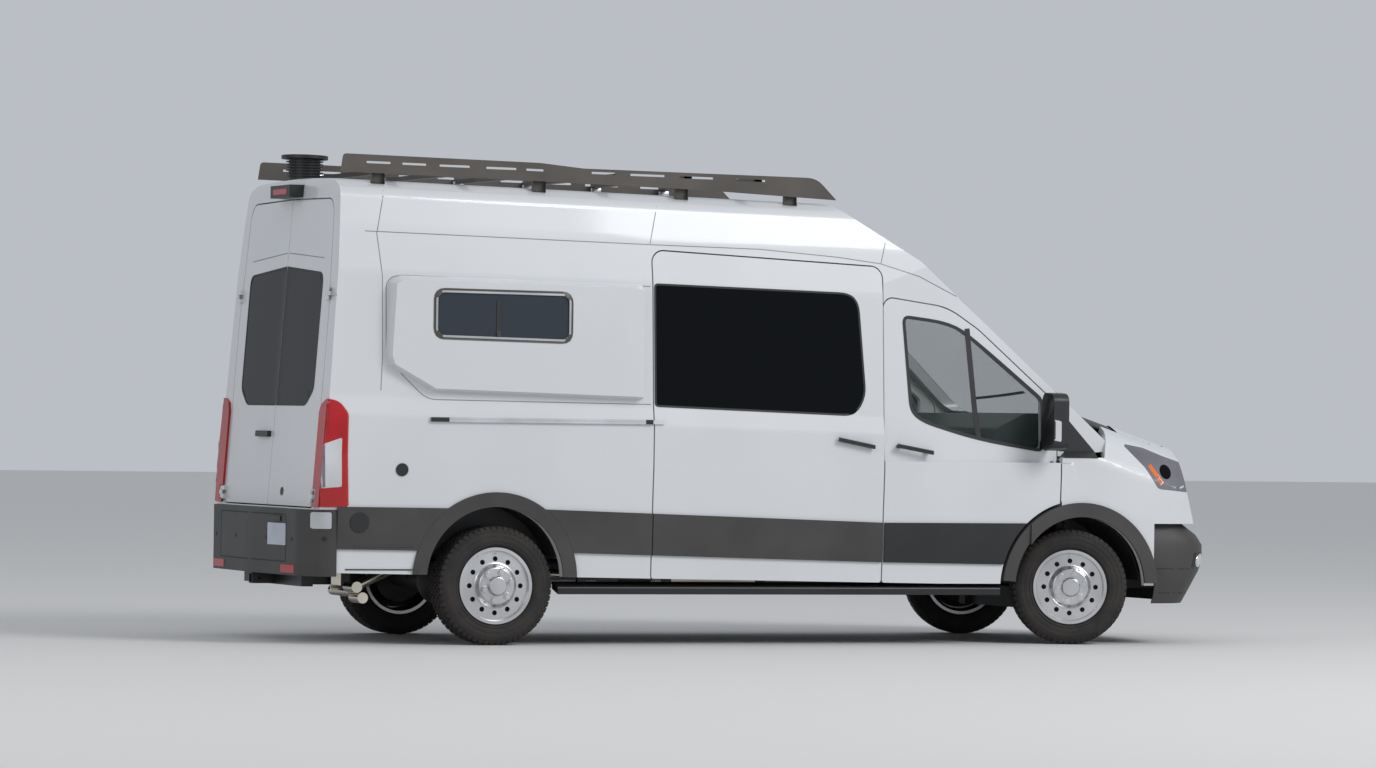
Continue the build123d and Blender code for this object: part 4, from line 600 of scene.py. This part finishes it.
# Wing's rear edge: x of its start and its run, x where door and wing are felt, heights, all in millimetres
FILLER_X = 3602
FILLER_RUN = 99
FILLER_FEELS = (3586, 3706)
FILLER_HEIGHTS = range(868, 1131, 16)
FILLER_STEPS = 7
# In metres: how far its end may lie within the door's skin, how far it stands out, and its thickness
FILLER_DIP = 0.012
FILLER_PROUD = 0.0003
FILLER_WALL = 0.004


def wing_filler(tag, sign):
    # Rear edge of the wing, from the door's seam to the wing's own skin.
    door = skin_of("front_door_" + tag)
    wing = skin_of("fenders")
    origin, way = VIEWS[tag]
    mesh = bmesh.new()
    rows = []
    for z in FILLER_HEIGHTS:
        near, far = [skin.ray_cast(origin(x, z), way)[0] for skin, x in zip((door, wing), FILLER_FEELS)]
        if near is None or far is None:
            continue
        reach = sign * max(abs(far.y), abs(near.y) - FILLER_DIP)
        row = []
        for k in range(FILLER_STEPS + 1):
            t = k / FILLER_STEPS
            y = near.y * (1 - t) + reach * t + sign * FILLER_PROUD
            row.append(mesh.verts.new((at(FILLER_X + t * FILLER_RUN, 0, z).x, y, z / 1000)))
        rows.append(row)
    join_rows(mesh, rows)
    thicken(mesh, Vector((0, -sign * FILLER_WALL, 0)))
    finish_piece("wing_filler_" + tag, mesh, MATERIALS["body_paint"], "van")


# Section of the arch flare: radius, and how far it stands out from the door's skin
FLARE_SECTION = ((ARCH_INNER_R, -30), (ARCH_INNER_R, 9), (ARCH_INNER_R + 7, 15), (ARCH_OUTER_R - 3, 15),
                 (ARCH_OUTER_R, 12), (ARCH_OUTER_R, -30))


def door_skin_y(z):
    # Half width of the doors' skin, which leans out from 984 mm at 100 mm up to 1018 mm at 850 mm.
    return 984 + 34 * (z - 100) / 750


def flare_sector(name, sign, start, end, body):
    # Part of the front arch's flare between two angles, in degrees back from the nose.
    mesh = bmesh.new()
    rows = []
    steps = max(2, ceil((end - start) / 3))
    for k in range(steps + 1):
        turn = radians(start + (end - start) * k / steps)
        row = []
        for radius, out in FLARE_SECTION:
            x = ARCH_MIDDLE[0] + radius * cos(turn)
            z = ARCH_MIDDLE[1] + radius * sin(turn)
            row.append(mesh.verts.new(at(x, sign * (door_skin_y(z) + out), z)))
        rows.append(row)
    join_rows(mesh, rows, around=True)
    mesh.faces.new(rows[0])
    mesh.faces.new(rows[-1][::-1])
    finish_piece(name, mesh, CLADDING, body)


# Pull handles: how far out they reach, their section as depth from there and height, and their feet's ends
HANDLE_Y = 1064
HANDLE_SECTION = ((0, -9), (0, 9), (12, 13), (18, 13), (18, -13), (12, -13))
HANDLE_FOOT_Y = (1052, 1004)
SLIDING_HANDLE = ((2129, 1228), (2360, 1184))


def pull_bar(name, start, end, body, sign):
    # Slanted pull handle on two feet; start and end are x, z.
    mesh = bmesh.new()
    first, second = [[mesh.verts.new(at(x, sign * (HANDLE_Y - dy), z + dz)) for dy, dz in HANDLE_SECTION]
                     for x, z in (start, end)]
    mesh.faces.new(first)
    mesh.faces.new(second[::-1])
    join_rows(mesh, [first, second], around=True)
    outer, inner = HANDLE_FOOT_Y
    for x, z in ((start[0] + 22, start[1] - 4), (end[0] - 22, end[1] + 4)):
        add_box(mesh, at(x - 14, sign * outer, z - 9), at(x + 14, sign * inner, z + 9))
    finish_piece(name, mesh, BLACK_PLASTIC, body)


# Rear features: y, z, corner reach; the window and the header are given for the left
REAR_WINDOW = [(4, 1392, 10), (570, 1392, 40), (700, 1482, 40), (700, 2160, 60), (4, 2205, 10)]
REAR_HEADER = [(20, 2290), (690, 2250)]
REAR_LOCK = circle(-264, 882, 24)
REAR_HANDLE = rectangle(43, 283, 1200, 1236, 12)
REAR_PANEL = rectangle(-640, 640, 478, 752, 20)
LICENCE_PLATE = rectangle(-640, -335, 572, 700, 8)
PLATE_LAMP = rectangle(-560, -420, 712, 742, 8)
STOP_LAMP_CASE = rectangle(-186, 186, 2622, 2684, 12)
STOP_LAMP_LENS = rectangle(-130, 130, 2636, 2668, 8)
REAR_SENSORS_Y = (300, 740)
# Hinge cover as the side shows it: x, z, corner reach
HINGE_COVER = rectangle(-1046, -1004, 2018, 2098, 10)
# In metres: the stop lamp is what the lamps' node has above this height; wall of the housing over it
STOP_LAMP_ABOVE = 2.5
HOUSING_WALL = 0.0015


def rear_details():
    for tag, sign in SIDES:
        body = "rear_door_" + tag
        panel = skin_of(body, "rear_door_glass_" + tag)
        corner = skin_of(body, "body_side_" + tag)
        glass = [(sign * y, z, reach) for y, z, reach in REAR_WINDOW]
        header = [(sign * y, z) for y, z in REAR_HEADER]
        laid_plate("rear_pane_" + tag, glass, "rear", panel, 1.2, DARK_GLASS, body)
        laid_line("rear_pane_rubber_" + tag, [glass], 12, "rear", panel, 2.4, RUBBER, body, closed=True)
        # The grey line under the header is painted shade along its pressed line
        laid_line("rear_header_" + tag, [header], 5, "rear", panel, 0.6, CREASE_SHADE_GREY, body)
        laid_plate("hinge_cover_" + tag, HINGE_COVER, tag, corner, 3.0, BRIGHT_METAL, "van", step=15)
    right, left = skin_of("rear_door_right"), skin_of("rear_door_left")
    laid_plate("rear_lock", REAR_LOCK, "rear", right, 4.0, BLACK_PLASTIC, "rear_door_right")
    laid_plate("rear_handle", REAR_HANDLE, "rear", left, 24.0, BLACK_PLASTIC, "rear_door_left")
    bumper = skin_of("rear_bumper")
    # The dark line round the bumper's recess is painted shade along its edge
    laid_line("bumper_recess_line", [REAR_PANEL], 8, "rear", bumper, 0.8, SHADE_AND_SENSOR_BLACK, "van", closed=True)
    laid_plate("licence_plate", LICENCE_PLATE, "rear", bumper, 5.0, BLANK_PLATE, "van")
    laid_plate("plate_lamp", PLATE_LAMP, "rear", bumper, 10.0, BLACK_PLASTIC, "van")
    for tag, sign in SIDES:
        reflector = rectangle(sign * 560, sign * 790, 414, 460, 8)
        laid_plate("reflector_" + tag, reflector, "rear", bumper, 3.0, RED_LENS, "van")
        for k, y in enumerate(REAR_SENSORS_Y):
            sensor = circle(sign * y, 610, 12)
            laid_plate("rear_sensor_%s_%d" % (tag, k), sensor, "rear", bumper, 1.5, SHADE_AND_SENSOR_BLACK, "van")


def stop_lamp():
    # Dark housing over the high stop lamp, and its lens.
    housing = merged_copy("tail_lamps")
    lower = [v for v in housing.verts if v.co.z < STOP_LAMP_ABOVE]
    bmesh.ops.delete(housing, geom=lower, context="VERTS")
    housing.normal_update()
    for vertex in housing.verts:
        vertex.co += vertex.normal * HOUSING_WALL
    finish_piece("stop_lamp_housing", housing, BLACK_PLASTIC, "van")
    lamp = skin_of("tail_lamps")
    laid_plate("stop_lamp_case", STOP_LAMP_CASE, "rear", lamp, 2.0, BLACK_PLASTIC, "van")
    laid_plate("stop_lamp_lens", STOP_LAMP_LENS, "rear", lamp, 4.0, RED_LENS, "van")


# Roof rack's side plate: x, z, corner reach; its slots: middle x and length
RACK_OUTLINE = [(-916, 2858, 20), (300, 2834), (575, 2808), (2065, 2790, 60), (2195, 2660), (1320, 2700),
                (302, 2726), (-932, 2752)]
RACK_SLOTS = [(-700, 150), (-480, 150), (-230, 190), (60, 190), (270, 110), (700, 150), (980, 220),
              (1290, 220), (1640, 190)]
RACK_INNER_Y = 796.0
RACK_PLATE = 8.0
# In metres from the middle: faces beyond the first are the plain plates', flat ones beyond the second too
PLAIN_PLATE_Y = 0.7955
PLAIN_FACE_Y = 0.7945
RACK_BARS_X = (-560, -110, 340, 790, 1240, 1690)
CLAMP_Y = 770


def slotted_plate(sign):
    flat = bmesh.new()
    loops = [rounded(RACK_OUTLINE)]
    for x, length in RACK_SLOTS:
        z = 2806 - 0.019 * (x + 700)
        loops.append(rounded([(x - length / 2, z - 2, 6), (x + length / 2, z - 4, 6),
                              (x + length / 2, z + 9, 6), (x - length / 2, z + 11, 6)]))
    edges = []
    for loop in loops:
        ring = [flat.verts.new(at(p.x, sign * RACK_INNER_Y, p.y)) for p in loop]
        edges += [flat.edges.new(pair) for pair in zip(ring, ring[1:] + ring[:1])]
    bmesh.ops.triangle_fill(flat, use_beauty=True, edges=edges, normal=(0, 1, 0))
    thicken(flat, Vector((0, sign * RACK_PLATE / 1000, 0)))
    return flat


def is_plain_plate(face):
    out = abs(face.calc_center_median().y)
    return out > PLAIN_PLATE_Y or abs(face.normal.y) > 0.99 and out > PLAIN_FACE_Y


def roof_rack():
    # Slotted side plates in place of the plain ones, on the rack's own bars and feet.
    mesh = merged_copy("roof_rack")
    bmesh.ops.delete(mesh, geom=[f for f in mesh.faces if is_plain_plate(f)], context="FACES")
    for tag, sign in SIDES:
        plate = slotted_plate(sign)
        scratch = bpy.data.meshes.new("rack_side")
        plate.to_mesh(scratch)
        plate.free()
        mesh.from_mesh(scratch)
        bpy.data.meshes.remove(scratch)
    rack = finish_piece("slotted_rack", mesh, MATERIALS["rack_metal"], "van", False)
    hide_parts("roof_rack")
    clamps = bmesh.new()
    for x in RACK_BARS_X:
        z = 2770 - 0.02 * (x + 560)
        for tag, sign in SIDES:
            y = sign * CLAMP_Y
            add_box(clamps, at(x - 34, y - 12, z - 22), at(x + 34, y + 12, z + 20), 0.003)
    finish_piece("rack_clamps", clamps, BRIGHT_METAL, "van")


# Ribs round the roof vent's neck, in metres
VENT_RIBS = 6
VENT_RIB_R = 0.112
VENT_RIB_H = 0.006
VENT_RIB_PITCH = 0.017
VENT_LID_H = 0.040


def vent_collar():
    low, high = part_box("roof_vent")
    middle = (Vector(low) + Vector(high)) / 2
    mesh = bmesh.new()
    for k in range(VENT_RIBS):
        z = high[2] - VENT_LID_H - k * VENT_RIB_PITCH
        bmesh.ops.create_cone(mesh, cap_ends=True, segments=40, radius1=VENT_RIB_R, radius2=VENT_RIB_R,
                              depth=VENT_RIB_H, matrix=Matrix.Translation((middle.x, middle.y, z)))
    finish_piece("vent_collar_ribs", mesh, BLACK_PLASTIC, "van")


REAR_CAP_LENGTH = 112
FRONT_CAP_LENGTH = 46
POWER_PORT = circle(-607, 1022, 38)


def rail_details():
    # Black ends and two bright bands on the sliding door's rail, and the port on the side below it.
    low, high = [[value * 1000 for value in corner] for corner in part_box("door_rail")]
    back, front = low[0] + REAR_AXLE_BACK, high[0] + REAR_AXLE_BACK
    rail = skin_of("door_rail")
    for name, x0, x1 in (("rail_cap_rear", back + 1, back + REAR_CAP_LENGTH),
                         ("rail_cap_front", front - FRONT_CAP_LENGTH, front - 1)):
        cap = rectangle(x0, x1, low[2] + 1, high[2] - 1)
        laid_plate(name, cap, "right", rail, 3.0, BLACK_PLASTIC, "van", step=12)
    middle = (low[2] + high[2]) / 2
    for k, z in enumerate((middle - 7, middle + 8)):
        band = [(back + REAR_CAP_LENGTH + 2, z), (front - FRONT_CAP_LENGTH - 2, z)]
        laid_line("rail_band_%d" % k, [band], 9, "right", rail, 1.5, WHITE_LENS, "van")
    body = skin_of("body_side_right", "sliding_door")
    laid_plate("shore_power_port", POWER_PORT, "right", body, 5.0, BLACK_PLASTIC, "van", step=20)


# Tyre's section from the outer bead round the tread to the inner bead: radius, y
CARCASS = [(214.8, -89), (230, -90), (238, -104), (246, -109), (250, -106), (262, -110.5), (268, -112),
           (284, -110), (288, -112), (298, -112), (322, -106), (334, -98), (340, -88),
           (340, 88), (334, 98), (322, 106), (298, 112), (268, 112), (262, 110.5), (238, 104), (230, 90),
           (214.8, 89)]
# Rows of tread blocks: y, width, share of a pitch that the row is turned
TREAD_ROWS = [(-78, 20, 0.0), (-47, 24, 0.5), (-16, 24, 0.0), (16, 24, 0.5), (47, 24, 0.0), (78, 20, 0.5)]
TREAD_PITCHES = 58
TREAD_RADII = (336, 347.6)
BLOCK_HALF = 0.36  # half of a block's length, as a share of the pitch
BLOCK_SLANT = 0.10
# Corners of a shoulder lug: radius, y, share of the pitch, height above the wall, depth of the root
SHOULDER_LUG = ((318, 107, -0.3, 3.5, 6), (318, 107, 0.3, 3.5, 6), (346.5, 90, 0.36, 3, 4),
                (346.5, 90, -0.36, 3, 4))
LUG_ROOT_IN = 8  # how much smaller the radius of a lug's root is
# In metres, with the wheel's outer face along -y
SHADE_RADII = (0.136, 0.184)
SHADE_Y = -0.052
SHADE_WALL = 0.003
SHADE_POINTS = 48
NUTS = 6
NUT_CIRCLE_R = 0.086
NUT_STACK = ((0.022, 0.003, -0.1205, 24), (0.017, 0.020, -0.131, 6))  # radius, depth, y, sides
VALVE_AT = (0, -0.096, 0.188)


def wheel_places():
    # End, side and place of each wheel; the wheels' own meshes lie round the y axis.
    for end in ("front", "rear"):
        for tag, sign in SIDES:
            face = Matrix.Rotation(0 if sign < 0 else pi, 4, "Z")
            if end == "front":
                king = Matrix.Translation(at(WHEELBASE, sign * KINGPIN_Y, TYRE_R))
                turn = Matrix.Rotation(-radians(STEER_AT_REST), 4, "Z")
                out = Matrix.Translation((0, sign * (FRONT_HALF_TRACK - KINGPIN_Y) / 1000, 0))
                yield end, tag, king @ turn @ out @ face
            else:
                yield end, tag, Matrix.Translation(at(0, sign * REAR_HALF_TRACK, TYRE_R)) @ face


def shade_mesh():
    # Dark ring behind the disc, painted shade where the holes look into the drum.
    mesh = bmesh.new()
    turns = [2 * pi * k / SHADE_POINTS for k in range(SHADE_POINTS)]
    rings = [[mesh.verts.new((r * cos(turn), SHADE_Y, r * sin(turn))) for turn in turns]
             for r in SHADE_RADII]
    join_rows(mesh, rings, around=True)
    thicken(mesh, Vector((0, SHADE_WALL, 0)))
    return mesh


def wheel_point(mesh, radius, y, pitches):
    turn = 2 * pi * pitches / TREAD_PITCHES
    return mesh.verts.new((radius / 1000 * cos(turn), y / 1000, radius / 1000 * sin(turn)))


def close_block(mesh, low, high):
    # Block that is open where it stands in the tyre.
    mesh.faces.new(high)
    join_rows(mesh, [low, high], around=True)


def tyre_mesh():
    mesh = bmesh.new()
    ring = [mesh.verts.new((r / 1000, y / 1000, 0)) for r, y in CARCASS]
    edges = [mesh.edges.new(pair) for pair in zip(ring, ring[1:] + ring[:1])]
    bmesh.ops.spin(mesh, geom=ring + edges, cent=(0, 0, 0), axis=(0, 1, 0), angle=2 * pi, steps=72,
                   use_merge=True, use_duplicate=False)
    for y, width, shift in TREAD_ROWS:
        slant = BLOCK_SLANT if shift else -BLOCK_SLANT
        for k in range(TREAD_PITCHES):
            low, high = [[wheel_point(mesh, r, y + dy * width / 2, k + shift + da * BLOCK_HALF + slant * dy)
                          for da, dy in ((-1, -1), (1, -1), (1, 1), (-1, 1))] for r in TREAD_RADII]
            close_block(mesh, low, high)
    for tag, sign in SIDES:
        shift = 0.5 if sign > 0 else 0.0
        for k in range(TREAD_PITCHES):
            low = [wheel_point(mesh, r - LUG_ROOT_IN, sign * (y - depth), k + shift + share)
                   for r, y, share, height, depth in SHOULDER_LUG]
            high = [wheel_point(mesh, r, sign * (y + height), k + shift + share)
                    for r, y, share, height, depth in SHOULDER_LUG]
            close_block(mesh, low, high)
    return mesh


def hub_mesh():
    # Nuts on washers round the hub, and the valve.
    mesh = bmesh.new()
    lie = Matrix.Rotation(pi / 2, 4, "X")
    for k in range(NUTS):
        angle = 2 * pi * (k + 0.25) / NUTS
        x, z = NUT_CIRCLE_R * cos(angle), NUT_CIRCLE_R * sin(angle)
        for radius, depth, y, sides in NUT_STACK:
            bmesh.ops.create_cone(mesh, cap_ends=True, segments=sides, radius1=radius, radius2=radius * 0.94,
                                  depth=depth, matrix=Matrix.Translation((x, y, z)) @ lie)
    bmesh.ops.create_cone(mesh, cap_ends=True, segments=12, radius1=0.005, radius2=0.004, depth=0.03,
                          matrix=Matrix.Translation(VALVE_AT) @ lie)
    return mesh


def wheels():
    for end, tag, place in wheel_places():
        name = end + "_" + tag
        body = "%s_wheel_%s" % (end, tag)
        rubber, hub, shade = tyre_mesh(), hub_mesh(), shade_mesh()
        for mesh in (rubber, hub, shade):
            mesh.transform(place)
        tyre = finish_piece("treaded_tyre_" + name, rubber, MATERIALS["tyre"], body)
        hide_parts("tyre_" + name)
        finish_piece("wheel_nuts_" + name, hub, BRIGHT_METAL, body)
        finish_piece("hole_shade_" + name, shade, SHADE_AND_SENSOR_BLACK, body)


PILLOW_ROWS = 16
PILLOW_POINTS = 32
SIDE_SWELL = 0.42
TOP_SWELL = 0.6
SEAT_Y = 480
# Seat cushions: middle as x, y from the seat's own middle, z; half sizes; lean in degrees
SEAT_CUSHIONS = (
    ((2800, 0, 1085), (245, 238, 62), -2),
    ((2530, 0, 1400), (62, 228, 320), -15),
    ((2805, -205, 1110), (215, 36, 50), -2),
    ((2560, -195, 1380), (60, 36, 260), -15),
    ((2805, 205, 1110), (215, 36, 50), -2),
    ((2560, 195, 1380), (60, 36, 260), -15),
    ((2392, 0, 1818), (48, 125, 86), -12),
)


def swell(value, power):
    # Value from -1 to 1, pushed away from 0.
    return copysign(abs(value) ** power, value) if abs(value) > 1e-9 else 0.0


def add_pillow(mesh, centre, half, lean):
    # Crowned cushion with soft edges.
    tilt = Matrix.Rotation(radians(lean), 3, "Y")
    rows = []
    for i in range(PILLOW_ROWS + 1):
        rise = -pi / 2 + pi * i / PILLOW_ROWS
        ring, height = swell(cos(rise), SIDE_SWELL), swell(sin(rise), TOP_SWELL)
        row = []
        for k in range(PILLOW_POINTS):
            turn = 2 * pi * k / PILLOW_POINTS
            turned = tilt @ Vector((half[0] * ring * swell(cos(turn), SIDE_SWELL),
                                    half[1] * ring * swell(sin(turn), SIDE_SWELL), half[2] * height))
            row.append(mesh.verts.new(at(*(centre[j] + turned[j] for j in range(3)))))
        rows.append(row)
    join_rows(mesh, rows, around=True)


def seats():
    for tag, sign in SIDES:
        y = sign * SEAT_Y
        mesh = bmesh.new()
        for (x, dy, z), half, lean in SEAT_CUSHIONS:
            add_pillow(mesh, (x, y + dy, z), half, lean)
        cushion = finish_piece("seat_cushions_" + tag, mesh, MATERIALS["seat_fabric"], "van")
        mesh = bmesh.new()
        add_box(mesh, at(2610, y - 195, 701), at(2990, y + 195, 1035), 0.01)
        for post_y in (y - 60, y + 60):
            add_box(mesh, at(2430, post_y - 7, 1690), at(2444, post_y + 7, 1760))
        base = finish_piece("seat_frame_" + tag, mesh, BLACK_PLASTIC, "van")
        if tag == "right":
            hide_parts("seats")
            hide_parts("seats")


WIPER_BLADES = ([(-690, 1530), (-80, 1490)], [(40, 1530), (640, 1490)])  # y, z of both ends


def wipers():
    screen = skin_of("windscreen", "hood", "cowl")
    for k, blade in enumerate(WIPER_BLADES):
        laid_line("wiper_blade_%d" % k, [blade], 14, "front", screen, 12.0, BLACK_PLASTIC, "van")


FLOOR_HALF = 90.0
SKY_COLOUR = (0.80, 0.84, 0.90, 1.0)
SKY_STRENGTH = 0.62
# Lights: name, place, aim, side in metres, power in watts
LIGHTS = (
    ("key_light", (10.0, -16.0, 14.0), (0.0, 0.0, 1.2), 9.0, 2300.0),
    ("fill_light", (-16.0, -10.0, 8.0), (-2.0, 0.0, 1.2), 8.0, 350.0),
)


def studio():
    floor_material, tree, shader = new_material("pale_floor", (0.72, 0.71, 0.695), 0.85)
    add_bump(tree, shader, object_noise(tree, 8.0), 0.05, 0.001)
    mesh = bmesh.new()
    bmesh.ops.create_grid(mesh, x_segments=1, y_segments=1, size=FLOOR_HALF)
    data = bpy.data.meshes.new("studio_floor")
    mesh.to_mesh(data)
    mesh.free()
    floor = bpy.data.objects.new("studio_floor", data)
    bpy.context.scene.collection.objects.link(floor)
    data.materials.append(floor_material)

    world = bpy.data.worlds.new("studio_sky")
    bpy.context.scene.world = world
    world.use_nodes = True
    background = world.node_tree.nodes["Background"]
    background.inputs["Color"].default_value = SKY_COLOUR
    background.inputs["Strength"].default_value = SKY_STRENGTH

    for name, place, aim, size, power in LIGHTS:
        lamp = bpy.data.lights.new(name, "AREA")
        lamp.size = size
        lamp.energy = power
        holder = bpy.data.objects.new(name, lamp)
        holder.location = place
        direction = Vector(aim) - Vector(place)
        holder.rotation_euler = direction.to_track_quat("-Z", "Y").to_euler()
        bpy.context.scene.collection.objects.link(holder)


def photo_camera():
    yaw, pitch, roll = radians(CAMERA_YAW), radians(CAMERA_PITCH), radians(CAMERA_ROLL)
    forward = Vector((sin(yaw) * cos(pitch), cos(yaw) * cos(pitch), sin(pitch)))
    right = Vector((cos(yaw), -sin(yaw), 0.0))
    up = right.cross(forward)
    right_rolled = right * cos(roll) + up * sin(roll)
    up_rolled = up * cos(roll) - right * sin(roll)
    turn = Matrix((right_rolled, up_rolled, -forward)).transposed()
    data = bpy.data.cameras.new("photo_camera")
    data.lens = CAMERA_LENS
    data.sensor_width = SENSOR_WIDTH
    data.clip_end = 400.0
    camera = bpy.data.objects.new("photo_camera", data)
    camera.matrix_world = Matrix.Translation(CAMERA_AT) @ turn.to_4x4()
    bpy.context.scene.collection.objects.link(camera)
    bpy.context.scene.camera = camera


bpy.context.scene.view_settings.view_transform = "Standard"
photo_camera()
studio()
dress_nodes()
front_details(front_bumper_shell())
for tag, sign in SIDES:
    side_details(tag, sign)
rear_details()
stop_lamp()
roof_rack()
vent_collar()
rail_details()
pull_bar("sliding_door_handle", *SLIDING_HANDLE, "van", -1)
wheels()
seats()
wipers()
